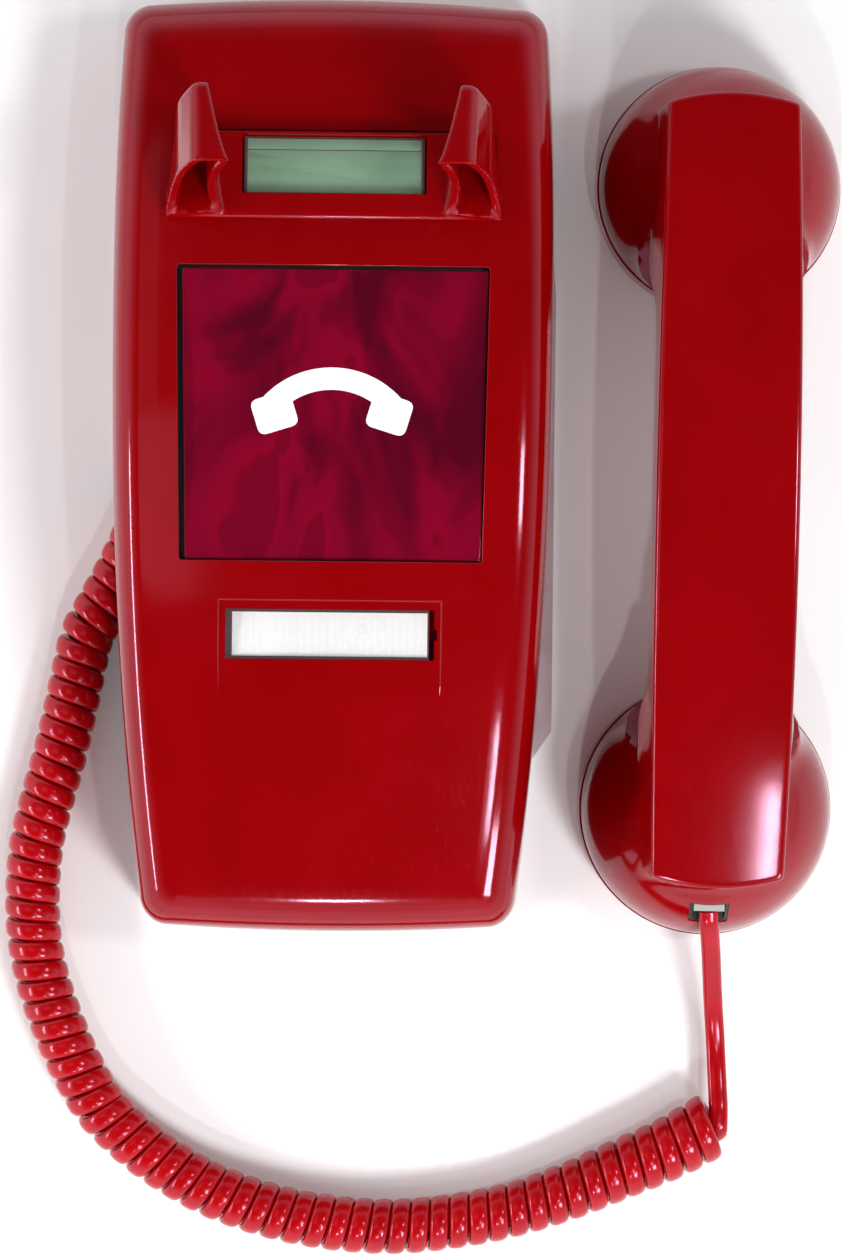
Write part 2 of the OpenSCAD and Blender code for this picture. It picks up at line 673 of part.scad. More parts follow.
// A tube swept along its points, hw wide across and ht high, with flat ends.
module tube(route, hw, ht, sides) {
    n = len(route);
    ring = [for (i = [0:n - 1]) let (t = tangent(route, i), side = unit(cross(t, [0, 0, 1])),
            up = cross(side, t))
        for (k = [0:sides - 1]) let (a = 360 * (k + 0.5) / sides)
            route[i] + side * hw * cos(a) + up * ht * sin(a)];
    polyhedron(points = ring, faces = concat(
        [[for (k = [sides - 1:-1:0]) k]],
        [for (m = [0:n - 2]) for (k = [0:sides - 1]) let (q = (k + 1) % sides)
            each [[m * sides + k, m * sides + q, (m + 1) * sides + q],
                [m * sides + k, (m + 1) * sides + q, (m + 1) * sides + k]]],
        [[for (k = [0:sides - 1]) (n - 1) * sides + k]]));
}

// ---- Curly cord --------------------------------------------------------------------------------
// The cord lies on the surface beside the housing: it leaves the cut-out in the left
// skirt, runs down and round below, and comes up to the handset's mouth end.
base_tail_route = [[-46, 2.4, 8.2], [-46, -1.5, 8.2], [-46.4, -5, 7.8], [-47.3, -8.5, 7.3]];
coil_z = 7.1;
coil_route = [[-47.3, -8.5], [-49, -17], [-53, -26], [-57.5, -34.5], [-61.8, -42.5], [-64, -52],
    [-66, -62], [-68.5, -73], [-71.5, -84], [-74, -95], [-75, -107], [-74.5, -119], [-72, -131],
    [-68, -142], [-63.5, -152], [-57.5, -162], [-49.5, -170], [-40, -177], [-28, -183.5],
    [-13, -188.5], [2, -191.2], [17, -192], [32, -190.6], [47, -187.6], [61, -183],
    [75, -177], [87, -171.8], [97.5, -166.2]];
handset_tail_route = [[99.2, -164.4, 10.5], [99.1, -161, 10.3], [98.9, -156, 7.6], [98.7, -150, 3.4],
    [98.4, -143, 2.4], [97.6, -135, 6], [96.7, -127, 14.2], [96, -120, 22], [95.3, -115.5, 27.7],
    [94.75, -112.6, 30], [94.66, -109.65, 30.1]];

module cord_tail(route) { color(red) tube(smooth_route(route, 2), cord_w / 2, cord_t / 2, 8); }
module base_cord_tail() { cord_tail(base_tail_route); }
module cord_coil() {
    r = coil_d / 2 / cos(15);
    color(red) tube([for (p = coil_route) [p.x, p.y, coil_z]], r, r, 12);
}
module handset_cord_tail() { cord_tail(handset_tail_route); }

// ---- Handset -------------------------------------------------------------------------------------
handset_y = -6.5;
handset_turn = -0.7;
module handset_frame() { translate([handset_x, handset_y, 0]) rotate([0, 0, handset_turn]) children(); }
neck_r = 27.6;
neck_bore_r = 25.6;
neck_h = 9;
handle_low = -93.5;
handle_high = 95;
handle_rows = 16;
end_bow = 2.6;                        // how far each end of the handle bulges at its middle

function handle_top(y) = handset_h - 7.5 * pow(abs(y) / 95, 2.2);
function handle_low_z(y) = 38 - 18 * pow(min(abs(y) / 75, 1), 3);
function handle_half(y) = handle_hw - 1.3 * pow(abs(y) / 95, 2);
// Section of the handle, anticlockwise seen from the mouth end, with rounded edges. The
// end sections bulge by bow at the middle.
function handle_section(y, bow) = let (w = handle_half(y), top = handle_top(y), low = handle_low_z(y))
    [for (p = [[7 - w, low], [-7 + w, low], [w - 2.5, low + 2], [w + 0.5, low + 7], [w, top - 3],
        [w - 0.9, top - 0.9], [w - 3, top], [0, top + 0.3], [3 - w, top], [0.9 - w, top - 0.9],
        [-w, top - 3], [-w - 0.5, low + 7], [2.5 - w, low + 2]])
        [p.x, y + bow * (1 - pow(p.x / w, 2)), p[1]]];

// Outline of a cup at one end of the handset, outside and inside.
function cup_side(r, z0, top) = [for (a = [0:10:80]) [r * cos(a), z0 + (top - z0) * sin(a)]];
module cup(r, low, top) {
    rotate_extrude() polygon(concat([[0, low]], cup_side(r, low, top), [[0, top]]));
}
cup_low = 12.4;
cup_top = 44;
jack_face = -22.8;                    // the jack's mouth, from the mouth cap's centre
jack_z = 30.6;
ear_at = [0, cap_spacing / 2, 0];
mouth_at = [0, -cap_spacing / 2, 0];

module handset_shell() {
    color(red) handset_frame() difference() {
        union() {
            section_loft([for (i = [0:handle_rows])
                handle_section(handle_low + (handle_high - handle_low) * i / handle_rows,
                    i == 0 ? -end_bow : i == handle_rows ? end_bow : 0)]);
            translate(ear_at) cup(ear_r - 0.3, cup_low, cup_top);
            translate(mouth_at) cup(mouth_r - 0.3, cup_low, cup_top);
            for (p = [ear_at, mouth_at]) translate(p + [0, 0, cup_low - neck_h])
                cylinder(r = neck_r, h = neck_h + 1);
        }
        for (p = [ear_at, mouth_at]) translate(p) {
            translate([0, 0, 2]) cylinder(r = neck_bore_r, h = cup_low + 4);
            translate([0, 0, cup_low + 3]) cylinder(r1 = neck_bore_r, r2 = 9, h = 20);
        }
        // channel for the leads along the handle
        translate([0, -cap_spacing / 2, 47]) rotate([-90, 0, 0]) cylinder(r = 5, h = cap_spacing);
        for (p = [ear_at, mouth_at]) translate(p + [0, 0, 25]) cylinder(r = 8.5, h = 24);
        // opening of the cord jack in the mouth end
        box([-5.5, mouth_at.y - 40, jack_z - 4.2], [5.5, mouth_at.y + jack_face + 15.5, jack_z + 4.2]);
    }
}

// A screw-on cap with its pierced face at the bottom. holes lists the circles of holes
// as [radius, count].
module cap(r, holes, hole_r) {
    difference() {
        rotate_extrude() polygon([[0, 0.6], [r - 7, 0], [r - 2.4, 0], [r - 0.7, 0.9], [r, 3],
            [r, cup_low - 0.2], [neck_r + fit_gap, cup_low - 0.2], [neck_r + fit_gap, 2.9], [0, 2.9]]);
        for (h = holes, i = [0:h[1] - 1]) rotate(360 * i / h[1]) translate([h[0], 0, -1])
            cylinder(r = hole_r, h = 6, $fn = 16);
    }
}
module ear_cap() {
    color(red) handset_frame() translate(ear_at) cap(ear_r, [[0, 1], [4.5, 6]], 1.1);
}
module mouth_cap() {
    holes = [[0, 1], [4.5, 6], [9, 12], [13.5, 18]];
    color(red) handset_frame() translate(mouth_at) cap(mouth_r, holes, 1.1);
}

module receiver_unit() {
    color("#b8b8b0") handset_frame() translate(ear_at) {
        translate([0, 0, 3.1]) cylinder(r = 25.2, h = 4);
        translate([0, 0, 7.1]) cylinder(r = 19, h = 8);
        for (x = [-6, 6]) translate([x, 0, 15.1]) cylinder(r = 1.6, h = 2);
    }
}

module transmitter_unit() {
    color("#c9c2a8") handset_frame() translate(mouth_at) {
        translate([0, 0, 3.1]) cylinder(r = 25.2, h = 6);
        translate([0, 0, 9.1]) cylinder(r = 12, h = 2);
    }
}

// Plastic cup behind the transmitter with its two contact springs.
module transmitter_cup() {
    color("#e4dfcf") handset_frame() translate(mouth_at) difference() {
        translate([0, 0, 9.1]) cylinder(r = 25.2, h = 5);
        translate([0, 0, 8]) cylinder(r = 23.6, h = 4.6);
        for (x = [-8, 8]) translate([x, 0, 8]) cylinder(r = 1.4, h = 8);
    }
    color("gold") handset_frame() translate(mouth_at)
        for (x = [-8, 8]) translate([x, 0, 11.1]) cylinder(r = 1.4, h = 5);
}

module handset_jack() {
    color("#232226") handset_frame() translate(mouth_at) difference() {
        box([-5.2, jack_face, jack_z - 4.1], [5.2, jack_face + 15, jack_z + 4.1]);
        box([-4.05, jack_face - 1, jack_z - 3.5], [4.05, jack_face + 13, jack_z + 3.5]);
    }
}

module handset_cord_plug() {
    color("#dcdcd4", 0.6) handset_frame() translate(mouth_at + [0, jack_face - 0.8, jack_z]) cord_plug();
}

module handset_leads() {
    for (s = [-1, 1]) color(s > 0 ? "#c23a2c" : "#e8e4d8") handset_frame()
        lead([[s * 3, -85.9, 31], [s * 2.8, -81, 32.4], [s * 2.5, -76, 37.8], [s * 2.2, -72, 44],
            [s * 2, -65, 46.8], [s * 2, -52, 47], [s * 2, 0, 47], [s * 2, 62, 47], [s * 2.2, 70, 45],
            [s * 3, 74, 38], [s * 4, 76, 28], [s * 6, 77.5, 17.4]], 0.7);
}

chassis();
housing();
cradle();
upper_number_card();
upper_card_window();
hook_lever();
hook_bracket();
hook_pivot_pin();
hook_spring();
cradle_screws();
hookswitch();
switch_plunger();
blank_plate();
emergency_symbol();
plate_retainer();
retainer_screws();
lower_number_card();
lower_card_window();
housing_screws();
network_board();
board_standoffs();
transformer();
capacitors();
terminal_block();
terminal_screws();
ringer_frame();
ringer_coil();
ringer_gong();
gong_post();
clapper();
clapper_pin();
volume_wheel();
volume_wheel_pin();
line_plug();
line_plug_bracket();
base_handset_jack();
wiring_leads();
handset_shell();
ear_cap();
mouth_cap();
receiver_unit();
transmitter_unit();
transmitter_cup();
handset_jack();
handset_leads();
base_cord_plug();
base_cord_tail();
cord_coil();
handset_cord_tail();
handset_cord_plug();
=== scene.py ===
"""Visual model of a compact wall telephone with a corded handset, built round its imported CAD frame."""
import json
import math

import bpy
import numpy as np
from mathutils import Matrix, Vector


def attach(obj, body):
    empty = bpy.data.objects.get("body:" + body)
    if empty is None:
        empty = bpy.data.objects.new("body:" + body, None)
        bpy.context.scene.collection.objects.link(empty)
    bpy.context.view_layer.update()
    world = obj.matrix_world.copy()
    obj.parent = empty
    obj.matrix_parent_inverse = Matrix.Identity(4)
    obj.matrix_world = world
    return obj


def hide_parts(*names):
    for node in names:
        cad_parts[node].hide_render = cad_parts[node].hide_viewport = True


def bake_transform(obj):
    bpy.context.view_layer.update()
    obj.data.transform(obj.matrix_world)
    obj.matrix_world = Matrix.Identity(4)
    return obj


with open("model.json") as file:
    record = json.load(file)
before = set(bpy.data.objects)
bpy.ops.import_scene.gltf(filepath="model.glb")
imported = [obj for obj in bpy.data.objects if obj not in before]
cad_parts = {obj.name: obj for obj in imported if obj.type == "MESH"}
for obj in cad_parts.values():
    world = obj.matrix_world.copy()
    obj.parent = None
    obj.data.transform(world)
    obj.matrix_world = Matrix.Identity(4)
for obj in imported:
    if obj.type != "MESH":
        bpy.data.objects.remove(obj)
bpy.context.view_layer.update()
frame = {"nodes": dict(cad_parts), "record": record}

MM = 0.001


# ---- Small tools ---------------------------------------------------------------------------------
def link(name, mesh):
    piece = bpy.data.objects.new(name, mesh)
    bpy.context.scene.collection.objects.link(piece)
    return piece


def new_piece(name, points, faces):
    """A mesh object from points in millimetres."""
    mesh = bpy.data.meshes.new(name)
    mesh.from_pydata([tuple(MM * float(c) for c in p) for p in points], [], faces)
    mesh.update()
    return link(name, mesh)


def bake_modifiers(piece):
    """Applies every modifier of a piece to its mesh."""
    graph = bpy.context.evaluated_depsgraph_get()
    mesh = bpy.data.meshes.new_from_object(piece.evaluated_get(graph))
    piece.modifiers.clear()
    piece.data = mesh


def drop(piece):
    bpy.data.objects.remove(piece)


def combine(piece, others, operation):
    """Unites with, or cuts by, other pieces, which are used up."""
    for other in others:
        step = piece.modifiers.new("combine", "BOOLEAN")
        step.operation = operation
        step.solver = "EXACT"
        step.object = other
        bake_modifiers(piece)
        drop(other)


def joined(name, pieces):
    """One object that holds the meshes of several, which are used up."""
    points, faces = [], []
    for piece in pieces:
        base = len(points)
        points += [tuple(v.co / MM) for v in piece.data.vertices]
        faces += [[base + i for i in p.vertices] for p in piece.data.polygons]
        drop(piece)
    return new_piece(name, points, faces)


def smooth(piece, angle=30.0, weighted=True):
    """Smooth shading with sharp edges above an angle, and flat areas kept flat beside small fillets."""
    piece.data.shade_smooth()
    piece.data.set_sharp_from_angle(angle=math.radians(angle))
    if weighted:
        step = piece.modifiers.new("weighted", "WEIGHTED_NORMAL")
        step.keep_sharp = True
        step.weight = 60


def strips(n, count, flip=False, base=0):
    """Faces between count closed rows of n points each."""
    faces = []
    for m in range(count - 1):
        for k in range(n):
            q = (k + 1) % n
            face = [base + m * n + k, base + m * n + q, base + (m + 1) * n + q, base + (m + 1) * n + k]
            faces.append(face[::-1] if flip else face)
    return faces


def loft(name, rows):
    """A skin through closed rows of points, with its ends closed."""
    n = len(rows[0])
    points = [p for row in rows for p in row]
    faces = strips(n, len(rows))
    faces.append(list(range(n))[::-1])
    faces.append([(len(rows) - 1) * n + k for k in range(n)])
    return new_piece(name, points, faces)


def box_piece(low, high, name="box"):
    x0, y0, z0 = low
    x1, y1, z1 = high
    rows = [[(x0, y0, z), (x1, y0, z), (x1, y1, z), (x0, y1, z)] for z in (z0, z1)]
    return loft(name, rows)


def round_corner(before, corner, after, radius, steps):
    """Points of a rounded corner, from one straight edge to the next."""
    corner = np.array(corner, float)
    arms = []
    for other in (before, after):
        arm = np.array(other, float) - corner
        arms.append(corner + arm * min(radius / np.linalg.norm(arm), 0.49))
    points = []
    for i in range(steps + 1):
        t = i / steps
        points.append((1 - t) ** 2 * arms[0] + 2 * t * (1 - t) * corner + t * t * arms[1])
    return points


def round_outline(corners, radii, steps=4):
    n = len(corners)
    points = []
    for i in range(n):
        if radii[i] > 0:
            points += round_corner(corners[i - 1], corners[i], corners[(i + 1) % n], radii[i], steps)
        else:
            points.append(np.array(corners[i], float))
    return points


def spline(points, steps):
    """A smooth curve through points, as a list that includes both ends."""
    p = [np.array(q, float) for q in points]
    p = [2 * p[0] - p[1]] + p + [2 * p[-1] - p[-2]]
    curve = []
    for i in range(1, len(p) - 2):
        a, b, c, d = p[i - 1:i + 3]
        for k in range(steps):
            t = k / steps
            curve.append(0.5 * (2 * b + (c - a) * t + (2 * a - 5 * b + 4 * c - d) * t * t
                                + (3 * b - a - 3 * c + d) * t ** 3))
    curve.append(p[-2])
    return curve


def unit(v):
    v = np.array(v, float)
    return v / max(np.linalg.norm(v), 1e-12)


# ---- Materials -----------------------------------------------------------------------------------
class Look:
    """A Principled material with small helpers for its nodes."""

    def __init__(self, name, colour, roughness, metallic=0.0, **sockets):
        self.material = bpy.data.materials.new(name)
        self.material.use_nodes = True
        self.tree = self.material.node_tree
        self.bsdf = self.tree.nodes["Principled BSDF"]
        self.set("Base Color", (*colour, 1.0))
        self.set("Roughness", roughness)
        self.set("Metallic", metallic)
        for socket, value in sockets.items():
            self.set(socket.replace("_", " "), value)
        coords = self.tree.nodes.new("ShaderNodeTexCoord")
        self.place = coords.outputs["Object"]

    def set(self, socket, value):
        self.bsdf.inputs[socket].default_value = value

    def noise(self, size_mm, detail=3.0, stretch=(1, 1, 1), twist=0.0, rough=0.5):
        """Noise whose features are about size_mm across."""
        mapping = self.tree.nodes.new("ShaderNodeMapping")
        mapping.inputs["Scale"].default_value = stretch
        self.tree.links.new(self.place, mapping.inputs["Vector"])
        node = self.tree.nodes.new("ShaderNodeTexNoise")
        node.inputs["Scale"].default_value = 1.0 / (size_mm * MM)
        node.inputs["Detail"].default_value = detail
        node.inputs["Roughness"].default_value = rough
        node.inputs["Distortion"].default_value = twist
        self.tree.links.new(mapping.outputs["Vector"], node.inputs["Vector"])
        return node.outputs["Fac"]

    def ramp(self, value, stops):
        """Maps a value to colours or greys; stops are (position, colour)."""
        node = self.tree.nodes.new("ShaderNodeValToRGB")
        elements = node.color_ramp.elements
        while len(elements) < len(stops):
            elements.new(0.5)
        for element, (position, colour) in zip(elements, stops):
            element.position = position
            element.color = (*colour, 1.0) if isinstance(colour, tuple) else (colour, colour, colour, 1.0)
        self.tree.links.new(value, node.inputs["Fac"])
        return node.outputs["Color"]

    def drive(self, socket, output):
        self.tree.links.new(output, self.bsdf.inputs[socket])

    def bump(self, height, depth_mm, strength=1.0):
        node = self.tree.nodes.new("ShaderNodeBump")
        node.inputs["Strength"].default_value = strength
        node.inputs["Distance"].default_value = depth_mm * MM
        previous = self.bsdf.inputs["Normal"]
        if previous.is_linked:
            self.tree.links.new(previous.links[0].from_socket, node.inputs["Normal"])
        self.tree.links.new(height, node.inputs["Height"])
        self.tree.links.new(node.outputs["Normal"], previous)


def gloss_plastic(name, colour, deep, roughness=0.11, coat=0.0, flow_mm=26.0):
    """Moulded gloss plastic: slight colour drift, faint flow waves, fine handling marks."""
    look = Look(name, colour, roughness, Coat_Weight=coat, Coat_Roughness=0.06, IOR=1.5)
    look.set("Specular Tint", (1.0, 0.64, 0.88, 1.0))
    look.set("Specular IOR Level", 0.42)
    drift = look.noise(flow_mm, 4.0, twist=0.6)
    look.drive("Base Color", look.ramp(drift, [(0.35, deep), (0.65, colour)]))
    marks = look.noise(0.9, 5.0, (1, 0.18, 1), rough=0.7)
    look.drive("Roughness", look.ramp(marks, [(0.35, roughness * 0.75), (0.62, roughness),
                                             (0.74, min(roughness * 1.9, 1.0))]))
    look.bump(look.noise(9.0, 2.0), 0.012)
    look.bump(look.noise(0.45, 2.0), 0.0022)
    return look


def matte_plastic(name, colour, roughness=0.5):
    """Spark-finished moulded plastic."""
    look = Look(name, colour, roughness, IOR=1.5)
    light = tuple(min(c * 1.35 + 0.004, 1.0) for c in colour)
    look.drive("Base Color", look.ramp(look.noise(6.0, 4.0), [(0.35, colour), (0.7, light)]))
    look.bump(look.noise(0.22, 3.0), 0.02)
    return look


def metal(name, colour, roughness, along=(1, 0.04, 1), dull=0.75):
    """Rolled or turned metal with fine drawn lines and a little tarnish."""
    look = Look(name, colour, roughness, metallic=1.0)
    dark = tuple(c * dull for c in colour)
    look.drive("Base Color", look.ramp(look.noise(3.0, 5.0), [(0.3, dark), (0.6, colour)]))
    lines = look.noise(0.16, 2.0, along)
    look.drive("Roughness", look.ramp(lines, [(0.3, roughness * 0.7), (0.7, min(roughness * 1.4, 1.0))]))
    look.bump(lines, 0.004)
    return look


def painted_metal(name, colour, roughness=0.42):
    look = Look(name, colour, roughness, Coat_Weight=0.1, Coat_Roughness=0.3)
    deep = tuple(c * 0.8 for c in colour)
    look.drive("Base Color", look.ramp(look.noise(7.0, 6.0), [(0.3, deep), (0.6, colour)]))
    look.bump(look.noise(0.6, 3.0), 0.015)
    return look


def paper(name, colour, roughness=0.75):
    look = Look(name, colour, roughness)
    deep = tuple(c * 0.93 for c in colour)
    look.drive("Base Color", look.ramp(look.noise(0.5, 6.0), [(0.3, deep), (0.7, colour)]))
    look.bump(look.noise(0.25, 4.0), 0.004)
    return look


def clear_plastic(name, colour, alpha, roughness=0.07):
    look = Look(name, colour, roughness, Alpha=alpha, IOR=1.49)
    haze = look.noise(4.0, 4.0)
    look.drive("Roughness", look.ramp(haze, [(0.3, roughness), (0.7, roughness * 2.2)]))
    look.bump(look.noise(11.0, 2.0), 0.01)
    return look


RED = (0.243, 0.0004, 0.0016)
RED_DEEP = (0.218, 0.0002, 0.0007)
LOOKS = {
    "red_abs": gloss_plastic("red_abs", RED, RED_DEEP),
    "red_cord": gloss_plastic("red_cord", (0.39, 0.0012, 0.003), (0.33, 0.0006, 0.0018), 0.2, 0.0, 12.0),
    "chassis_steel": painted_metal("chassis_steel", (0.62, 0.50, 0.54)),
    "plated_steel": metal("plated_steel", (0.62, 0.61, 0.58), 0.3),
    "spring_steel": metal("spring_steel", (0.42, 0.42, 0.43), 0.28, (1, 1, 0.05)),
    "brass": metal("brass", (0.72, 0.53, 0.24), 0.26),
    "gong_brass": metal("gong_brass", (0.70, 0.52, 0.24), 0.18, (0.2, 0.2, 1)),
    "grey_card": paper("grey_card", (0.22, 0.42, 0.25)),
    "white_card": paper("white_card", (0.95, 0.95, 0.94)),
    "clear_plastic": clear_plastic("clear_plastic", (0.30, 0.30, 0.32), 0.1),
    "clear_plug": clear_plastic("clear_plug", (0.80, 0.80, 0.76), 0.55),
    "white_vinyl": matte_plastic("white_vinyl", (0.86, 0.86, 0.82), 0.4),
    "black_plastic": matte_plastic("black_plastic", (0.012, 0.012, 0.014), 0.4),
    "ivory_plastic": gloss_plastic("ivory_plastic", (0.66, 0.60, 0.45), (0.60, 0.53, 0.38), 0.3),
    "circuit_board": matte_plastic("circuit_board", (0.20, 0.12, 0.03), 0.45),
    "lacquered_iron": painted_metal("lacquered_iron", (0.09, 0.07, 0.055)),
    "amber_film": gloss_plastic("amber_film", (0.50, 0.22, 0.03), (0.42, 0.17, 0.02), 0.2),
    "wound_copper": metal("wound_copper", (0.55, 0.20, 0.08), 0.35, (0.05, 1, 1)),
    "wire_insulation": gloss_plastic("wire_insulation", (0.42, 0.05, 0.04), (0.34, 0.03, 0.03), 0.3),
    "receiver_alloy": metal("receiver_alloy", (0.70, 0.70, 0.68), 0.35),
    "transmitter_plastic": matte_plastic("transmitter_plastic", (0.42, 0.38, 0.28)),
}


def smoked_acrylic():
    """Deep red acrylic sheet over a clouded backing."""
    look = Look("smoked_red_acrylic", (0.17, 0.001, 0.016), 0.1,
                Coat_Weight=0.25, Coat_Roughness=0.04, IOR=1.49)
    cloud = look.noise(38.0, 2.5, (1.0, 0.5, 1.0), twist=1.9, rough=0.42)
    stops = [(0.33, (0.075, 0.0002, 0.0095)), (0.45, (0.145, 0.0002, 0.0125)), (0.48, (0.175, 0.0003, 0.016)),
             (0.58, (0.21, 0.0003, 0.0155)), (0.61, (0.15, 0.0002, 0.012))]
    look.drive("Base Color", look.ramp(cloud, stops))
    look.bump(look.noise(16.0, 2.0), 0.02)
    return look


LOOKS["smoked_red_acrylic"] = smoked_acrylic()


def dress(piece, slot):
    piece.data.materials.clear()
    piece.data.materials.append(LOOKS[slot].material)


def finish_piece(piece, body, slot, *nodes):
    """Material, body, slot and the CAD nodes that the piece stands for."""
    dress(piece, slot)
    if body:
        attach(piece, body)
    if nodes:
        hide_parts(*nodes)


# ---- Camera --------------------------------------------------------------------------------------
CAMERA_AT = Vector((8, -40.5, 1080)) * MM
CAMERA_AIM = Vector((23, -40.5, 0)) * MM
CAMERA_LEAN = math.radians(0.6)
FOCAL = 120.74


def make_camera():
    data = bpy.data.cameras.new("camera")
    data.lens = FOCAL
    data.sensor_width = 36.0
    data.clip_end = 20.0
    camera = bpy.data.objects.new("camera", data)
    bpy.context.scene.collection.objects.link(camera)
    back = (CAMERA_AT - CAMERA_AIM).normalized()
    up = Vector((-math.sin(CAMERA_LEAN), math.cos(CAMERA_LEAN), 0))
    right = up.cross(back).normalized()
    up = back.cross(right)
    turn = Matrix((right, up, back)).transposed().to_4x4()
    camera.matrix_world = Matrix.Translation(CAMERA_AT) @ turn
    bpy.context.scene.camera = camera


make_camera()

# ---- Cord ----------------------------------------------------------------------------------------
CORD_W = 5.0
CORD_T = 3.2
COIL_D = 14.0
COIL_Z = 7.1
PITCH = 5.05                         # asked for; a whole number of turns makes it 5.10
COIL_STEP, TURN_STEPS = 0.2, 36      # spacing of the coil's axis, and points in a turn
LOOSE_FROM, LOOSE_BY = 0.84, 1.35    # the last turns are wider
TAIL_BEND = 3.6                      # radius of the turn up into the tail
BASE_TAIL = [(-46, 2.4, 8.2), (-46, -1.5, 8.2), (-46.4, -5, 7.8), (-47.3, -8.5, 7.3)]
COIL_ROUTE = [(-47.3, -8.5), (-49, -17), (-53, -26), (-57.5, -34.5), (-61.8, -42.5), (-64, -52),
              (-66, -62), (-68.5, -73), (-71.5, -84), (-74, -95), (-75, -107), (-74.5, -119), (-72, -131),
              (-68, -142), (-63.5, -152), (-57.5, -162), (-49.5, -170), (-40, -177), (-28, -183.5),
              (-13, -188.5), (2, -191.2), (17, -192), (32, -190.6), (47, -187.6), (61, -183),
              (75, -177), (87, -171.8), (97.6, -165.9)]
TAIL_TURN = (99.3, -168.2, 6.9)      # where the cord turns up from under the last ring
HANDSET_TAIL = [(99.3, -160.5, 10.4), (99.1, -155.5, 9.4), (98.8, -149.5, 8.8), (98.4, -143, 9.2),
                (97.7, -135.5, 11.6), (96.9, -128, 16.4), (96.1, -121, 22), (95.4, -116, 26.4),
                (94.9, -112.8, 29.1), (94.66, -109.65, 30.1)]


def resample(points, step):
    """Points at even spacing along a polyline."""
    p = np.array(points, float)
    lengths = np.linalg.norm(np.diff(p, axis=0), axis=1)
    run = np.concatenate([[0], np.cumsum(lengths)])
    count = max(int(round(run[-1] / step)), 1)
    at = np.linspace(0, run[-1], count + 1)
    return np.column_stack([np.interp(at, run, p[:, i]) for i in range(3)])


def cord_path():
    """The cord's middle line and, at each point, the way its flat face looks."""
    middle = (COIL_D - CORD_T) / 2
    axis = resample(spline([(x, y, COIL_Z) for x, y in COIL_ROUTE], 10), COIL_STEP)
    run = np.arange(len(axis)) * COIL_STEP
    first, last = CORD_W / 2 + 0.3, run[-1] - 1.0
    count = math.floor((last - first) / PITCH) * TURN_STEPS
    path, faces_out = [], []
    for i in range(count + 1):
        s = first + (last - first) * i / count
        j = min(int(s / COIL_STEP), len(axis) - 2)
        centre = axis[j] + (axis[j + 1] - axis[j]) * (s / COIL_STEP - j)
        ahead = unit(axis[min(j + 6, len(axis) - 1)] - axis[max(j - 6, 0)])
        left = np.array([-ahead[1], ahead[0], 0.0])
        angle = 2 * math.pi * (count - i) / TURN_STEPS
        out = left * math.cos(angle) + np.array([0, 0, 1.0]) * math.sin(angle)
        loose = max(0.0, (i / count - LOOSE_FROM) / 0.16)
        path.append(centre + out * (middle + LOOSE_BY * loose) + np.array([0, 0.4, LOOSE_BY]) * loose)
        faces_out.append(out)
    return path, faces_out


def last_turn(start):
    """The half turn under the coil from the last ring, and the turn up into the straight tail."""
    tip = np.array(TAIL_TURN)
    across = tip - start
    lift = np.array([0, 0, start[2] - tip[2]])
    across[2] = 0
    radius, ahead = np.linalg.norm(across) / 2, unit(across)
    up, back = np.array([0, 0, 1.0]), np.array([0, -1.0, 0])
    path, faces_out = [], []
    for i in range(1, 19):
        a = math.pi * i / 18
        out = -ahead * math.cos(a) - up * math.sin(a)
        centre = tip - ahead * radius + lift * (1 - i / 18)
        path.append(centre + out * radius)
        faces_out.append(out)
    for i in range(1, 10):
        a = math.pi / 2 * i / 9
        side = unit(ahead * (1 - i / 9) + back * i / 9)
        path.append(tip - back * TAIL_BEND + (back * math.cos(a) + up * math.sin(a)) * TAIL_BEND)
        faces_out.append(side * math.cos(a) + up * math.sin(a))
    return path, faces_out


def make_cord():
    helix, helix_out = cord_path()
    start = [np.array(p, float) for p in BASE_TAIL[:3]]
    lead_in = spline(start + [helix[0] - (helix[2] - helix[0]) * 1.2, helix[0]], 6)[:-1]
    turn, turn_out = last_turn(helix[-1])
    tail = spline([turn[-1]] + [np.array(p, float) for p in HANDSET_TAIL], 6)[1:]
    up = np.array([0, 0, 1.0])
    looks = [unit(up + (helix_out[0] - up) * (i / len(lead_in)) ** 2) for i in range(len(lead_in))]
    return lead_in + helix + turn + tail, looks + helix_out + turn_out + [up] * len(tail)


def tube_piece(name, path, looks, width, thickness, sides=16, power=2.6):
    """A tube with a rounded flat section swept along a path."""
    rows = []
    for i, centre in enumerate(path):
        ahead = unit(path[min(i + 1, len(path) - 1)] - path[max(i - 1, 0)])
        out = unit(looks[i] - ahead * float(np.dot(looks[i], ahead)))
        side = np.cross(ahead, out)
        row = []
        for k in range(sides):
            a = 2 * math.pi * (k + 0.5) / sides
            c, s = math.cos(a), math.sin(a)
            c = math.copysign(abs(c) ** (2 / power), c)
            s = math.copysign(abs(s) ** (2 / power), s)
            row.append(centre + side * (width / 2 * c) + out * (thickness / 2 * s))
        rows.append(row)
    return loft(name, rows)


CORD_PATH, CORD_LOOKS = make_cord()
cord = tube_piece("curly_cord", CORD_PATH, CORD_LOOKS, CORD_W * 0.97, CORD_T)
smooth(cord, 60, weighted=False)
dress(cord, "red_cord")
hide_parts("base_cord_tail", "cord_coil", "handset_cord_tail")
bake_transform(cord)

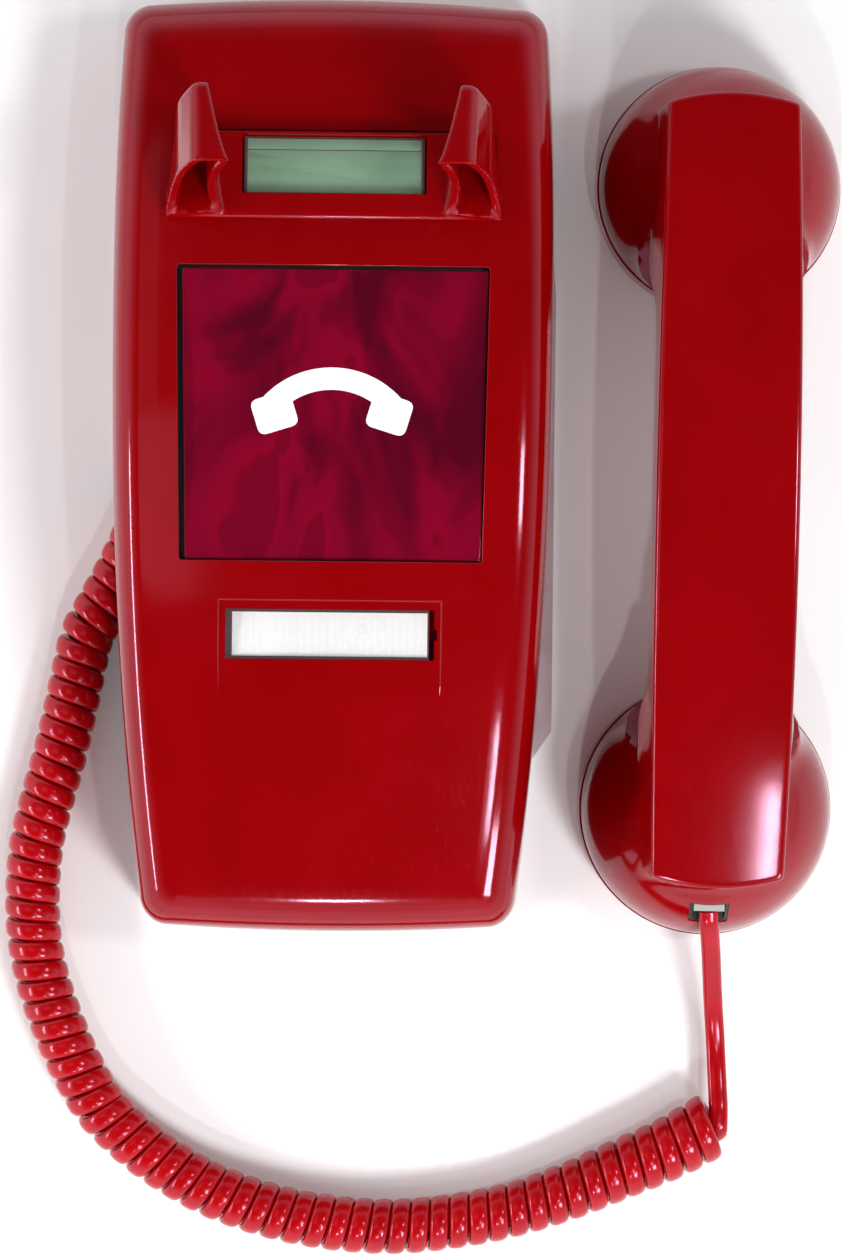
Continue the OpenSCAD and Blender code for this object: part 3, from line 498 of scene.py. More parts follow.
# ---- Housing -------------------------------------------------------------------------------------
BODY_H, BODY_W, BODY_D = 233.0, 110.6, 62.0
WALL, DRAFT, CORNER_R = 2.5, 1.5, 8.0
EDGE_R, EDGE_RISE = 11.2, 13.0        # the rounded edge, across and up
SKIRT_Z = 1.5
WIDE_Y, DEEP_Y = 50.0, -10.0
TOP_TAPER, BOTTOM_TAPER = 2.0, 8.8
TOP_FALL, BOTTOM_FALL = 18.0, 14.0
FRONT_CROWN, END_CROWN = 1.2, 2.0
EDGE_POWER = 2.8                     # how square the edge between the wall and the front is
WALL_BEND = 1.9                      # the walls lean in more towards the front
SIDE_N, END_N, ARC_N = 72, 32, 6
WALL_ROWS, EDGE_ROWS = 9, 14
CUTTER_TOP = 75.0                    # above the whole front
LONG_EDGE, EDGE_PARTS = 6.0, 12      # edges of a cutter longer than this are split, to follow the front


def half_w(y):
    if y > WIDE_Y:
        return BODY_W / 2 - TOP_TAPER * ((y - WIDE_Y) / (BODY_H / 2 - WIDE_Y)) ** 2
    return BODY_W / 2 - BOTTOM_TAPER * ((WIDE_Y - y) / (BODY_H / 2 + WIDE_Y)) ** 2.4


def front_z(x, y):
    if y > DEEP_Y:
        fall = TOP_FALL * ((y - DEEP_Y) / (BODY_H / 2 - DEEP_Y)) ** 2.2
    else:
        fall = BOTTOM_FALL * ((DEEP_Y - y) / (BODY_H / 2 + DEEP_Y)) ** 2
    return BODY_D - FRONT_CROWN * (x / 50) ** 2 - fall


def end_y(x):
    return BODY_H / 2 - END_CROWN * (x / 50) ** 2


def corner_radius(d):
    return max(CORNER_R - 0.6 * d, 1)


def side_limit(d, s):
    return s * (BODY_H / 2 - d - corner_radius(d) - END_CROWN)


def arc_point(d, s, a):
    r = corner_radius(d)
    y0 = side_limit(d, s)
    x0 = half_w(y0) - d - r
    y1 = end_y(x0) - d
    return (x0 + r * math.cos(a), y0 + s * (y1 - abs(y0)) * math.sin(a))


def right_side(d):
    """The right side from the middle of the low corner to the middle of the high one."""
    quarter = math.pi / 4
    points = [arc_point(d, -1, quarter * (1 - k / ARC_N)) for k in range(ARC_N)]
    low, high = side_limit(d, -1), side_limit(d, 1)
    for k in range(SIDE_N + 1):
        y = low + (high - low) * k / SIDE_N
        points.append((half_w(y) - d, y))
    points += [arc_point(d, 1, quarter * k / ARC_N) for k in range(1, ARC_N + 1)]
    return points


def end_side(d, s):
    """An end from the middle of its right corner to the middle of its left one."""
    quarter = math.pi / 4
    half = [arc_point(d, s, quarter + quarter * k / ARC_N) for k in range(ARC_N)]
    reach = half_w(side_limit(d, s)) - d - corner_radius(d)
    flat = []
    for k in range(END_N + 1):
        x = reach * (1 - 2 * k / END_N)
        flat.append((x, s * (end_y(x) - d)))
    return half + flat + [(-x, y) for x, y in half[::-1]]


def outline(d):
    right = right_side(d)
    top = end_side(d, 1)
    low = end_side(d, -1)
    left = [(-x, y) for x, y in right[::-1]]
    return right[:-1] + top[:-1] + left[:-1] + low[::-1][:-1]


def shell_skin(inset, z0):
    """Points and faces of the housing's form at an inset, open at the back."""
    r, rise = EDGE_R - inset / 2, EDGE_RISE - inset / 2
    rings = [(DRAFT * (i / WALL_ROWS) ** WALL_BEND, i / WALL_ROWS, 0.0) for i in range(WALL_ROWS)]
    for i in range(EDGE_ROWS + 1):
        a = math.pi / 2 * i / EDGE_ROWS
        c, s = math.cos(a) ** (2 / EDGE_POWER), math.sin(a) ** (2 / EDGE_POWER)
        rings.append((DRAFT + r * (1 - c), 1.0, s))
    points, faces = [], []
    for d, part, lift in rings:
        for x, y in outline(inset + d):
            top = front_z(x, y) - inset - rise
            points.append((x, y, z0 + (top - z0) * part + rise * lift))
    n = len(points) // len(rings)
    faces += strips(n, len(rings))
    base = n * (len(rings) - 1)
    side, end = SIDE_N + 2 * ARC_N, END_N + 2 * ARC_N
    edge = [np.array(p) for p in points[base:]]

    def ring_index(i, j):
        if i == end:
            return j
        if j == side:
            return side + end - i
        if i == 0:
            return side + end + side - j
        if j == 0:
            return (2 * side + end + i) % n
        return -1

    first = len(points)
    for j in range(1, side):
        for i in range(1, end):
            u, v = i / end, j / side
            low, high = edge[ring_index(i, 0)], edge[ring_index(i, side)]
            left, right = edge[ring_index(0, j)], edge[ring_index(end, j)]
            corners = ((1 - u) * (1 - v) * edge[ring_index(0, 0)] + u * (1 - v) * edge[ring_index(end, 0)]
                       + (1 - u) * v * edge[ring_index(0, side)] + u * v * edge[ring_index(end, side)])
            p = (1 - v) * low + v * high + (1 - u) * left + u * right - corners
            points.append((p[0], p[1], front_z(p[0], p[1]) - inset))

    def at(i, j):
        k = ring_index(i, j)
        return base + k if k >= 0 else first + (j - 1) * (end - 1) + i - 1

    for j in range(side):
        for i in range(end):
            faces.append([at(i, j), at(i + 1, j), at(i + 1, j + 1), at(i, j + 1)])
    return points, faces, n


def surface_cutter(corners, radius, flare, floor_z):
    """A plug that cuts an opening with a rounded mouth where it meets the front."""
    profile = [(0.66 * flare, None)]
    for degrees in (20, 40, 60, 80, 90):
        a = math.radians(degrees)
        profile.append((flare * (1 - math.sin(a)), -flare * (1 - math.cos(a))))
    cx = sum(c[0] for c in corners) / len(corners)
    cy = sum(c[1] for c in corners) / len(corners)
    rows = []
    for grow, dz in profile + [(0.0, "floor")]:
        grown = [(x + math.copysign(grow, x - cx), y + math.copysign(grow, y - cy)) for x, y in corners]
        row = round_outline([(x, y, 0) for x, y in grown], [radius + grow] * len(corners), 5)
        long_row = []
        for a, b in zip(row, row[1:] + row[:1]):
            long_row.append(a)
            if np.linalg.norm(b - a) > LONG_EDGE:
                long_row += [a + (b - a) * t / EDGE_PARTS for t in range(1, EDGE_PARTS)]
        out = []
        for p in long_row:
            if dz is None:
                z = CUTTER_TOP
            elif dz == "floor":
                z = floor_z
            else:
                z = front_z(p[0], p[1]) + dz
            out.append((p[0], p[1], z))
        rows.append(out)
    return loft("cutter", rows[::-1])


def rect(x0, y0, x1, y1):
    return [(x0, y0), (x1, y0), (x1, y1), (x0, y1)]


OPENING = rect(-39, 60.8, 39, 80.5)
PLATE_TILT, PLATE_Y, PLATE_Z = math.radians(-2.3), 11.6, 58.6
PLATE_HALF = 71 / 2 * math.cos(PLATE_TILT)
PLATE_OUTLINE = [(-36.5, PLATE_Y - PLATE_HALF - 0.3), (36.5, PLATE_Y - PLATE_HALF - 0.3),
                 (37.9, PLATE_Y + PLATE_HALF + 0.3), (-37.9, PLATE_Y + PLATE_HALF + 0.3)]
CARD_Y = -41.8
CARD_FLOOR = 57.9
CARD_X, CARD_HALF = 25.3, 6.1        # the lower card's opening, half sizes
CORD_BAY = ((-75, -51, -1), (-40.5, 1, 16.2))
WHEEL_SLOT = ((-25, -130, 10.7), (-3, -105, 15.3))
CARD_NOTCH = ((23.7, CARD_Y - 1.3, 55), (25.9, CARD_Y + 1.3, 70))
CARD_GROOVE = ((-25.2, CARD_Y - 6.0, 54.6), (25.2, CARD_Y + 6.0, 58.2))
CARD_ISLAND = ((-23.2, CARD_Y - 5.1, 54), (23.9, CARD_Y + 5.2, 59))


def step_recess():
    """A shallow panel round the number card, with sloping sides, that fades out towards the bottom."""
    x_half, y_low, y_high, depth, above = 26.7, -56.5, -33.8, 0.36, 0.4
    nx, ny = 18, 10
    y_mid, y_half = (y_low + y_high) / 2, (y_high - y_low) / 2
    points = []
    for level in (0, 1):
        grow = (depth + above) * level
        for j in range(ny + 1):
            y = y_mid + (y_half + grow) * (2 * j / ny - 1)
            sink = 0.02 + depth * min(1.0, (j / ny) * 2.2)
            for i in range(nx + 1):
                x = (x_half + grow) * (2 * i / nx - 1)
                points.append((x, y, front_z(x, y) + (above if level else -sink)))
    w = nx + 1
    half = w * (ny + 1)
    faces = []
    for j in range(ny):
        for i in range(nx):
            a = j * w + i
            faces.append([a, a + w, a + w + 1, a + 1])
            faces.append([half + a, half + a + 1, half + a + w + 1, half + a + w])
    rim = ([i for i in range(nx)] + [j * w + nx for j in range(ny)]
           + [ny * w + i for i in range(nx, 0, -1)] + [j * w for j in range(ny, 0, -1)])
    for a, b in zip(rim, rim[1:] + rim[:1]):
        faces.append([a, b, half + b, half + a])
    return new_piece("step", points, faces)


def make_housing():
    outer, outer_faces, n = shell_skin(0.0, SKIRT_Z)
    inner, inner_faces, _ = shell_skin(WALL, SKIRT_Z)
    base = len(outer)
    faces = outer_faces + [[base + i for i in face[::-1]] for face in inner_faces]
    faces += [[k, base + k, base + (k + 1) % n, (k + 1) % n] for k in range(n)]
    shell = new_piece("housing_shell", outer + inner, faces)
    pocket_body = box_piece((-28.5, CARD_Y - 9, 53.5), (28.5, CARD_Y + 9, 58.9))
    combine(shell, [pocket_body], "UNION")
    combine(shell, [step_recess()], "DIFFERENCE")
    cutters = [
        surface_cutter(OPENING, 1.2, 0.7, 35.0),
        surface_cutter(PLATE_OUTLINE, 0.9, 0.2, 45.0),
        surface_cutter(rect(-CARD_X, CARD_Y - CARD_HALF, CARD_X, CARD_Y + CARD_HALF), 0.5, 0.2, CARD_FLOOR),
        box_piece(*CORD_BAY),
        box_piece(*WHEEL_SLOT),
    ]
    combine(shell, [joined("cutters", cutters)], "DIFFERENCE")
    combine(shell, [box_piece(*CARD_NOTCH)], "DIFFERENCE")
    groove = box_piece(*CARD_GROOVE)
    combine(groove, [box_piece(*CARD_ISLAND)], "DIFFERENCE")
    combine(shell, [groove], "DIFFERENCE")
    smooth(shell, 28)
    return shell


housing = make_housing()
finish_piece(housing, "base", "red_abs", "housing")

# ---- Cradle --------------------------------------------------------------------------------------
CRADLE_ORIGIN = Vector((0, 69, 55.2))
CRADLE_TILT = math.radians(-10)
HORN_WALL, HORN_FLOOR = 2.1, 3.0
HORN_RIM = [(40.6, 58.8, 59.2), (40.5, 60, 61.5), (39, 64, 70), (36.6, 66.8, 83), (32.9, 68.5, 94),
            (24, 68.5, 94), (26.4, 67, 84), (28, 65, 73), (27.8, 62.4, 64.5), (26.6, 59.6, 59.2)]
HORN_END = [(37.8, 83.0, 54.4), (38, 83.2, 60), (38, 83.4, 69), (36.9, 84.4, 81), (33.0, 87.8, 88),
            (29.6, 87.8, 88), (29.8, 87.2, 80), (30, 86.4, 70), (30.2, 85.6, 60), (30.2, 84.8, 54.4)]


def horn_section(t):
    points = []
    for i, (a, b) in enumerate(zip(HORN_RIM, HORN_END)):
        e = max(t, 0.0) ** 0.75 if i > 4 else t
        points.append(np.array([a[0] + (b[0] - a[0]) * e, a[1] + (b[1] - a[1]) * t,
                                a[2] + (b[2] - a[2]) * t]))
    return points


def horn_hollow(t):
    s = horn_section(t)
    n = len(s)
    points = []
    for i, p in enumerate(s):
        mid = (p[0] + s[n - 1 - i][0]) / 2
        keep = max(abs(p[0] - mid) - HORN_WALL, 0.25)
        side = 1 if p[0] > mid else -1
        down = HORN_WALL if i in (4, 5) else -HORN_FLOOR if i in (0, n - 1) else 0
        points.append(np.array([mid + side * keep, p[1], p[2] - down]))
    return points


def flowing(section, outer_radius, inner_radius):
    """The section with smooth sides, and its front face's corners rounded, the outer one broadly."""
    outer = spline(section[:5], 4)
    inner = spline(section[5:], 4)
    corner_a = round_corner(outer[-3], outer[-1], inner[0], outer_radius, 6)
    corner_b = round_corner(outer[-1], inner[0], inner[1], inner_radius, 3)
    return outer[:-2] + corner_a + corner_b + inner[1:]


def horn(mirror):
    steps = 22
    outer = [flowing(horn_section(i / steps), 2.6, 0.8) for i in range(steps + 1)]
    last = outer[-1]
    centre = sum(last) / len(last)
    for grow, ahead in ((0.25, 0.5), (0.75, 0.8)):
        outer.append([p + unit(centre - p) * grow + np.array([0, ahead - 0.8, 0]) for p in last])
    outer[-3] = [p - np.array([0, 0.8, 0]) for p in last]
    hollow = [flowing(horn_hollow(i / steps), 1.6, 0.5) for i in range(steps - 2)]
    n = len(outer[0])
    rows = outer + hollow
    points = [p for row in rows for p in row]
    faces = strips(n, len(outer))
    faces.append([(len(outer) - 1) * n + k for k in range(n)])
    base = len(outer) * n
    faces += strips(n, len(hollow), flip=True, base=base)
    faces.append([base + (len(hollow) - 1) * n + k for k in range(n)][::-1])
    for k in range(n):
        q = (k + 1) % n
        faces.append([k, base + k, base + q, q])
    if mirror:
        points = [(-p[0], p[1], p[2]) for p in points]
        faces = [face[::-1] for face in faces]
    return new_piece("horn", points, faces)


def tilt_up(piece):
    """Moves a piece from the cradle's tilted frame to the phone's."""
    turn = Matrix.Translation(CRADLE_ORIGIN * MM) @ Matrix.Rotation(CRADLE_TILT, 4, "X")
    piece.data.transform(turn)
    return piece


def slab():
    """The cradle's face with its rounded lip."""
    profile = [(-9.9, 1.3), (-10.8, 1.55), (-11.2, 2.3), (-10.8, 3.05), (-9.9, 3.4), (10.6, 3.4), (10.6, 1.6)]
    stations = ((-40.6, -5.0), (-39.8, -3.0), (-38.2, -2.0), (-38.0, 10.6),
                (38.0, 10.6), (38.2, -2.0), (39.8, -3.0), (40.6, -5.0))
    rows = [[(x, min(y, upper), z) for y, z in profile] for x, upper in stations]
    return tilt_up(loft("slab", rows))


def make_cradle():
    parts = [horn(False), horn(True), slab(), tilt_up(box_piece((-38, -4.9, -6), (38, 10.6, 2.2)))]
    for s in (-1, 1):
        wing = sorted((s * 29.4, s * 38.4))
        parts.append(tilt_up(box_piece((wing[0], 8, 1.6), (wing[1], 16, 3.0))))
    piece = joined("cradle_shell", parts)
    remesh = piece.modifiers.new("remesh", "REMESH")
    remesh.mode = "VOXEL"
    remesh.voxel_size = 0.42 * MM
    soften = piece.modifiers.new("soften", "SMOOTH")
    soften.factor = 0.5
    soften.iterations = 5
    bake_modifiers(piece)
    window = tilt_up(box_piece((-22.3, -5.0, 0.6), (22.3, 9.8, 8)))
    groove = box_piece((-22.3, -5.0, -3), (22.3, 9.8, 2))
    combine(groove, [box_piece((-21.4, -4.3, -4), (21.4, 9.5, 3))], "DIFFERENCE")
    combine(piece, [window], "DIFFERENCE")
    combine(piece, [tilt_up(groove)], "DIFFERENCE")
    smooth(piece, 40, weighted=False)
    return piece


cradle = make_cradle()
finish_piece(cradle, "hook", "red_abs", "cradle")

# ---- Handset -------------------------------------------------------------------------------------
EAR_R, MOUTH_R, CAP_SPACING = 30.8, 31.8, 156.8
HANDSET_H, HANDLE_HW = 62.5, 17.4
HANDSET_AT = Vector((95.9, -6.5, 0))
HANDSET_TURN = math.radians(-0.7)
HANDLE_LOW, HANDLE_HIGH, END_BOW = -93.5, 95.0, 2.6
HANDLE_MID, END_MID, UNDER_R = 46.0, 38.0, 6.0
HANDLE_CROWN = 0.35
HANDLE_REACH, TOP_DROP, HALF_DROP = 95.0, 7.5, 1.3
UNDER_MID, UNDER_DROP, UNDER_REACH = 38.0, 18.0, 75.0
FILLET_REACH = 1.2                   # points further than this from the surface stay where they are
FILLET_NARROW, FILLET_WIDER = 3.0, 19.0
CUP_LOW, CUP_TOP = 12.4, 44.0
JACK_FACE, JACK_Z = -22.8, 30.6


def handset_place(piece):
    turn = Matrix.Translation(HANDSET_AT * MM) @ Matrix.Rotation(HANDSET_TURN, 4, "Z")
    piece.data.transform(turn)
    return piece


# The handle's height, underside and half width along it; y is a number or an array.
def handle_top(y):
    return HANDSET_H - TOP_DROP * (abs(y) / HANDLE_REACH) ** 2.2


def handle_under(y):
    return UNDER_MID - UNDER_DROP * np.minimum(abs(y) / UNDER_REACH, 1) ** 3


def handle_half(y):
    return HANDLE_HW - HALF_DROP * (abs(y) / HANDLE_REACH) ** 2


def handle_section(y, shrink=0.0):
    """The handle's section, anticlockwise seen from the mouth end."""
    w, top, low = handle_half(y) - shrink, handle_top(y) - shrink, handle_under(y) + shrink
    corners = [(UNDER_R - w, low), (w - UNDER_R, low), (w + 0.3, low + 6.5), (w, top)]
    across = [0.84, 0.7, 0.56, 0.42, 0.28, 0.14, 0, -0.14, -0.28, -0.42, -0.56, -0.7, -0.84]
    corners += [(x * w, top + HANDLE_CROWN * (1 - x * x)) for x in across]
    corners += [(-w, top), (-w - 0.3, low + 6.5)]
    radii = [UNDER_R] * 3 + [1.3] + [0] * len(across) + [1.3, UNDER_R]
    flat = round_outline([(x, z, 0) for x, z in corners], radii, 5)
    return [(p[0], p[1]) for p in flat]


def bowed(section, y, bow, half):
    """A section of the handle pushed out at the middle, still on the curve of the top."""
    row = []
    for x, z in section:
        along = y + bow * (1 - (x / half) ** 2)
        row.append((x, along, z + (handle_top(along) - handle_top(y) if z > HANDLE_MID else 0.0)))
    return row


def handle_piece():
    rows = []
    count = 110
    for i in range(count + 1):
        y = HANDLE_LOW + 1.0 + (HANDLE_HIGH - HANDLE_LOW - 2.0) * i / count
        near_low, near_high = max(0.0, 1 - (y - HANDLE_LOW) / 14.0), max(0.0, 1 - (HANDLE_HIGH - y) / 14.0)
        rows.append(bowed(handle_section(y), y, END_BOW * (near_high - near_low), handle_half(y)))
    for s, y_end in ((-1, HANDLE_LOW), (1, HANDLE_HIGH)):
        half = handle_half(y_end)
        end = [bowed(handle_section(y_end, shrink), y_end - s * (1.0 - ahead), s * END_BOW, half)
               for ahead, shrink in ((0.7, 0.12), (0.92, 0.4), (1.0, 0.8))]
        flat = handle_section(y_end, 0.8)
        for part in (0.84, 0.66, 0.48, 0.3, 0.12):
            smaller = [(x * part, END_MID + (z - END_MID) * part) for x, z in flat]
            end.append([(x, y_end + s * END_BOW * (1 - (x / half) ** 2), z) for x, z in smaller])
        rows = end[::-1] + rows if s < 0 else rows + end
    return loft("handle", rows[::-1])


def cup_piece(r, y0):
    sides, rows = 96, []
    profile = [(r - 2.9, CUP_LOW - 2.0), (r - 2.9, CUP_LOW), (r - 0.5, CUP_LOW), (r - 0.08, CUP_LOW + 0.35)]
    for i in range(1, 34):
        a = math.radians(88.0 * i / 33)
        profile.append((r * math.cos(a), CUP_LOW + (CUP_TOP - CUP_LOW) * math.sin(a)))
    angles = [2 * math.pi * k / sides for k in range(sides)]
    for radius, z in profile:
        rows.append([(radius * math.cos(a), y0 + radius * math.sin(a), z) for a in angles])
    return loft("cup", rows)


def distances(p):
    """Signed distances, in mm, to the handle's and to the nearer cup's form."""
    x, y, z = p[:, 0], p[:, 1], p[:, 2]
    w, top, low = handle_half(y), handle_top(y), handle_under(y)
    bow = END_BOW * (1 - np.clip(x / w, -1, 1) ** 2)
    side, under = np.abs(x) - w + UNDER_R, low + UNDER_R - z
    round_under = (np.hypot(np.maximum(side, 0), np.maximum(under, 0))
                   + np.minimum(np.maximum(side, under), 0) - UNDER_R)
    q = np.stack([round_under, z - top, y - HANDLE_HIGH - bow, HANDLE_LOW - bow - y], 1)
    outside = np.linalg.norm(np.maximum(q, 0), axis=1)
    handle = np.where(outside > 0, outside, q.max(1))
    cups = []
    for y0, r in ((CAP_SPACING / 2, EAR_R - 0.3), (-CAP_SPACING / 2, MOUTH_R - 0.3)):
        c = CUP_TOP - CUP_LOW
        k = np.sqrt((x / r) ** 2 + ((y - y0) / r) ** 2 + ((z - CUP_LOW) / c) ** 2)
        cups.append((k - 1) * (r + c) / 2)
    return handle, np.minimum(cups[0], cups[1])


def blend_width(p):
    """How wide the fillet between the handle and a cup is: wide on the grip's side."""
    inner = CAP_SPACING / 2 - np.abs(p[:, 1])
    t = np.clip((inner - 6) / 20, 0, 1)
    return FILLET_NARROW + FILLET_WIDER * t * t * (3 - 2 * t)


def fillet(piece):
    """Moves the points near the join of handle and cups onto a rounded blend of both."""
    mesh = piece.data
    count = len(mesh.vertices)
    co = np.empty(count * 3)
    mesh.vertices.foreach_get("co", co)
    p = co.reshape(-1, 3) / MM
    start = p.copy()
    above = p[:, 2] > CUP_LOW + 0.5

    def field(q):
        a, b = distances(q)
        k = blend_width(q)
        h = np.maximum(k - np.abs(a - b), 0) / k
        return np.minimum(a, b) - h * h * k / 4, np.minimum(a, b)

    _, first = field(start)
    keep = np.abs(first) < FILLET_REACH
    for _ in range(12):
        value, _ = field(p)
        gap = value - first
        grad = np.zeros_like(p)
        for i in range(3):
            step = np.zeros(3)
            step[i] = 0.05
            grad[:, i] = (field(p + step)[0] - field(p - step)[0]) / 0.1
        size = np.maximum((grad ** 2).sum(1), 0.2)
        move = -(gap / size)[:, None] * grad
        p = np.where((above & keep)[:, None], p + 0.7 * move, p)
    mesh.vertices.foreach_set("co", (p * MM).reshape(-1))
    mesh.update()


def make_handset():
    shell = handle_piece()
    split = shell.modifiers.new("fine", "SUBSURF")
    split.subdivision_type = "SIMPLE"
    split.levels = 1
    bake_modifiers(shell)
    cups = [cup_piece(EAR_R - 0.3, CAP_SPACING / 2), cup_piece(MOUTH_R - 0.3, -CAP_SPACING / 2)]
    combine(shell, cups, "UNION")
    fillet(shell)
    jack_y = -CAP_SPACING / 2 + JACK_FACE
    mouth = [(-4.85, jack_y - 18, JACK_Z - 3.5), (4.85, jack_y + 15.5, JACK_Z + 3.45)]
    combine(shell, [box_piece(*mouth)], "DIFFERENCE")
    handset_place(shell)
    shell.name = "handset_body"
    smooth(shell, 32)
    return shell


handset = make_handset()
finish_piece(handset, "handset", "red_abs", "handset_shell")


def make_jack():
    """The black jack behind the opening; its mouth follows the curve of the cup."""
    jack_y = -CAP_SPACING / 2 + JACK_FACE
    body = box_piece((-4.8, jack_y - 8, JACK_Z - 3.45), (4.8, jack_y + 15, JACK_Z + 3.4))
    combine(body, [cup_piece(MOUTH_R - 0.7, -CAP_SPACING / 2)], "INTERSECT")
    bore = box_piece((-4.1, jack_y - 12, JACK_Z - 3.0), (4.1, jack_y + 13, JACK_Z + 2.95))
    combine(body, [bore], "DIFFERENCE")
    handset_place(body)
    body.name = "handset_socket"
    smooth(body, 32)
    return body


finish_piece(make_jack(), "handset", "black_plastic", "handset_jack")

# ---- Plate, symbol and upper card ----------------------------------------------------------------
FILM_Z = (0.4, 0.55)                 # the symbol's film, above the plate's middle
PLATE_AT = Matrix.Translation(Vector((0, PLATE_Y, PLATE_Z)) * MM) @ Matrix.Rotation(PLATE_TILT, 4, "X")


def rounded_slab(name, corners, radius, z0, z1, edge, place):
    """A flat plate with rounded corners and a softened top edge."""
    outline_points = round_outline([(x, y, 0) for x, y in corners], [radius] * len(corners), 5)
    centre = sum(outline_points) / len(outline_points)
    rows = []
    for inset, z in ((0, z0), (0, z1 - edge), (0.3 * edge, z1 - 0.3 * edge), (edge, z1)):
        rows.append([(p[0] - inset * np.sign(p[0] - centre[0]), p[1] - inset * np.sign(p[1] - centre[1]), z)
                     for p in outline_points])
    piece = loft(name, rows)
    piece.data.transform(place)
    smooth(piece, 50)
    return piece


plate_corners = [(-35.3, -35.5), (36.3, -35.5), (37.7, 35.0), (-36.7, 35.0)]
plate = rounded_slab("blank_plate_sheet", plate_corners, 0.8, -2.0, 0.4, 0.35, PLATE_AT)
finish_piece(plate, "base", "smoked_red_acrylic", "blank_plate")


def make_symbol():
    """A handset in outline, a white film on the plate."""
    arc = []
    outer_r, inner_r, centre_y, reach = 22.6, 17.2, -14.4, math.radians(53)
    for radius, turn in ((outer_r, reach), (inner_r, -reach)):
        for i in range(41):
            a = math.pi / 2 + turn * (1 - i / 20)
            arc.append((radius * math.cos(a), centre_y + radius * math.sin(a)))
    symbol = loft("symbol", [[(x, y, z) for x, y in arc[::-1]] for z in FILM_Z])
    pads = []
    for side in (-1, 1):
        corners = round_outline([(x, y, 0) for x, y in rect(-5.0, -4.4, 5.0, 4.4)], [2.0] * 4, 6)
        c, s = math.cos(-side * 0.3), math.sin(-side * 0.3)
        row = [(side * 13.9 + c * p[0] - s * p[1], -2.9 + s * p[0] + c * p[1]) for p in corners]
        pads.append(loft("pad", [[(x, y, z) for x, y in row] for z in FILM_Z]))
    combine(symbol, pads, "UNION")
    symbol.data.transform(PLATE_AT @ Matrix.Translation(Vector((0, 2.9, 0)) * MM))
    smooth(symbol, 40, weighted=False)
    return symbol


finish_piece(make_symbol(), "base", "white_vinyl", "emergency_symbol")

CRADLE_AT = Matrix.Translation(CRADLE_ORIGIN * MM) @ Matrix.Rotation(CRADLE_TILT, 4, "X")
card_rows = [rounded_slab("card_low", rect(-21.1, -4.1, 21.1, 6.45), 0.3, 0.62, 1.0, 0.06, CRADLE_AT),
             rounded_slab("card_high", rect(-21.1, 6.7, 21.1, 9.3), 0.3, 0.62, 0.94, 0.06, CRADLE_AT)]
upper_card = joined("upper_card", card_rows)
smooth(upper_card, 40, weighted=False)
finish_piece(upper_card, "hook", "grey_card", "upper_number_card")

# ---- CAD nodes that stay -------------------------------------------------------------------------
SLOTS = {row["node"]: row["material_slot"] for row in frame["record"]["subparts"]}
for node, piece in frame["nodes"].items():
    dress(piece, SLOTS[node])
    for face in piece.data.polygons:
        face.use_smooth = True
    piece.data.set_sharp_from_angle(angle=math.radians(32))

# ---- Light and floor -----------------------------------------------------------------------------
FLOOR_HALF, FLOOR_Z = 4.0, -0.2      # in metres and in millimetres
# name, place, aim, size across and along Y, radiance
LIGHTS = [
    ("left_window", (-1.15, -0.32, 0.62), (-0.05, -0.1, 0.05), (0.07, 0.8), 50),
    ("right_window", (0.288, -0.51, 1.15), (0.288, -0.51, 0.0), (0.022, 0.23), 90),
    ("near_window", (0.15, -1.25, 0.95), (0.05, -0.1, 0.03), (0.9, 0.4), 0.5),
    ("far_window", (0.56, 0.03, 1.0), (0.05, 0.0, 0.05), (0.15, 0.11), 40),
    ("key", (0.62, -0.85, 1.15), (0.02, -0.05, 0.03), (0.32, 0.32), 39),
    ("ceiling_left", (-0.53, 0.0, 1.32), (-0.53, 0.0, 0.0), (0.74, 0.34), 0.7),
    ("ceiling_far", (-0.55, 0.5, 1.32), (-0.55, 0.5, 0.0), (0.66, 0.62), 0.28),
    ("lamp", (0.0, -0.95, 1.0), (0.0, -0.1, 0.0), (0.035, 0.035), 560),
]


def panel_light(name, at, aim, size, radiance):
    """A flat soft light of a given brightness, with its second size along Y."""
    data = bpy.data.lights.new(name, "AREA")
    data.shape = "RECTANGLE"
    data.size, data.size_y = size
    data.energy = radiance * size[0] * size[1] * math.pi
    lamp = bpy.data.objects.new(name, data)
    bpy.context.scene.collection.objects.link(lamp)
    back = (Vector(at) - Vector(aim)).normalized()
    across = Vector((0, 1, 0)).cross(back).normalized()
    along = back.cross(across)
    turn = Matrix((across, along, back)).transposed().to_4x4()
    lamp.matrix_world = Matrix.Translation(Vector(at)) @ turn


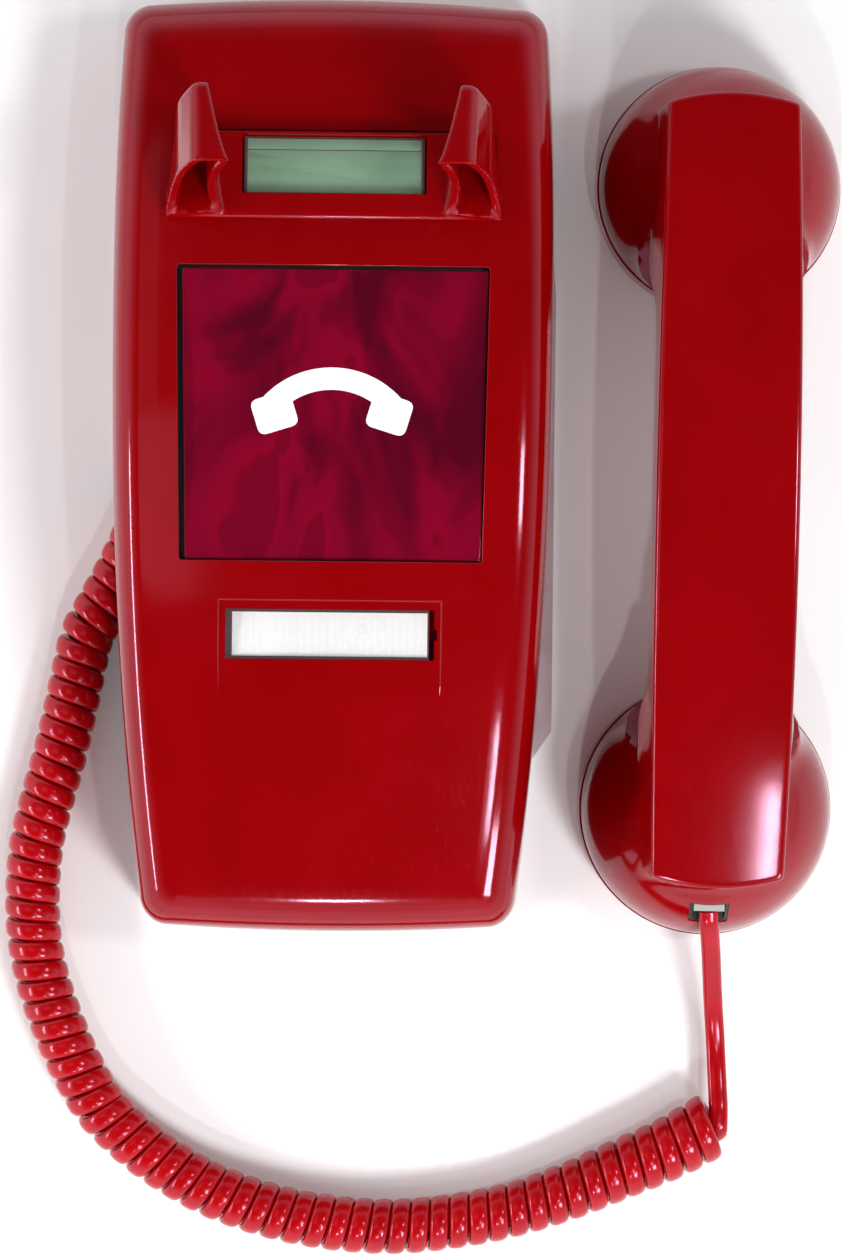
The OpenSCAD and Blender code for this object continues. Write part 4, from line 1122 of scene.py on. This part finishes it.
def make_world():
    """A pale band low down all round, a little brighter up, down and to the left, and a dark ceiling."""
    world = bpy.data.worlds.new("studio")
    bpy.context.scene.world = world
    world.use_nodes = True
    tree = world.node_tree

    def node(kind, **values):
        made = tree.nodes.new(kind)
        for key, value in values.items():
            setattr(made, key, value)
        return made

    def math_node(operation, a, b):
        made = node("ShaderNodeMath", operation=operation)
        for socket, value in zip(made.inputs, (a, b)):
            if isinstance(value, (int, float)):
                socket.default_value = value
            else:
                tree.links.new(value, socket)
        return made.outputs[0]

    coords = node("ShaderNodeTexCoord")
    split = node("ShaderNodeSeparateXYZ")
    tree.links.new(coords.outputs["Generated"], split.inputs["Vector"])
    ramp = node("ShaderNodeValToRGB")
    ramp.color_ramp.interpolation = "EASE"
    ramp.color_ramp.elements[0].position = 0.25
    ramp.color_ramp.elements[0].color = (1.0, 1.0, 1.0, 1.0)
    ramp.color_ramp.elements[1].position = 0.80
    ramp.color_ramp.elements[1].color = (0.03, 0.03, 0.035, 1.0)
    tree.links.new(split.outputs["Z"], ramp.inputs["Fac"])
    toward_left = math_node("MULTIPLY", split.outputs["X"], -0.12)
    upward = math_node("MULTIPLY", math_node("ABSOLUTE", split.outputs["Y"], 0.0), 0.4)
    side = math_node("ADD", math_node("ADD", toward_left, upward), 1.2)
    tree.links.new(ramp.outputs["Color"], tree.nodes["Background"].inputs["Color"])
    tree.links.new(side, tree.nodes["Background"].inputs["Strength"])


def make_stage():
    ends = (-FLOOR_HALF / MM, FLOOR_HALF / MM)
    points = [(x, y, FLOOR_Z) for y in ends for x in ends]
    floor = new_piece("floor", points, [[0, 1, 3, 2]])
    look = Look("floor", (0.94, 0.94, 0.95), 0.6)
    stops = [(0.3, (0.93, 0.93, 0.94)), (0.7, (0.95, 0.95, 0.96))]
    look.drive("Base Color", look.ramp(look.noise(40.0, 3.0), stops))
    floor.data.materials.append(look.material)
    make_world()
    for light in LIGHTS:
        panel_light(*light)
    bpy.context.scene.view_settings.view_transform = "Standard"


make_stage()
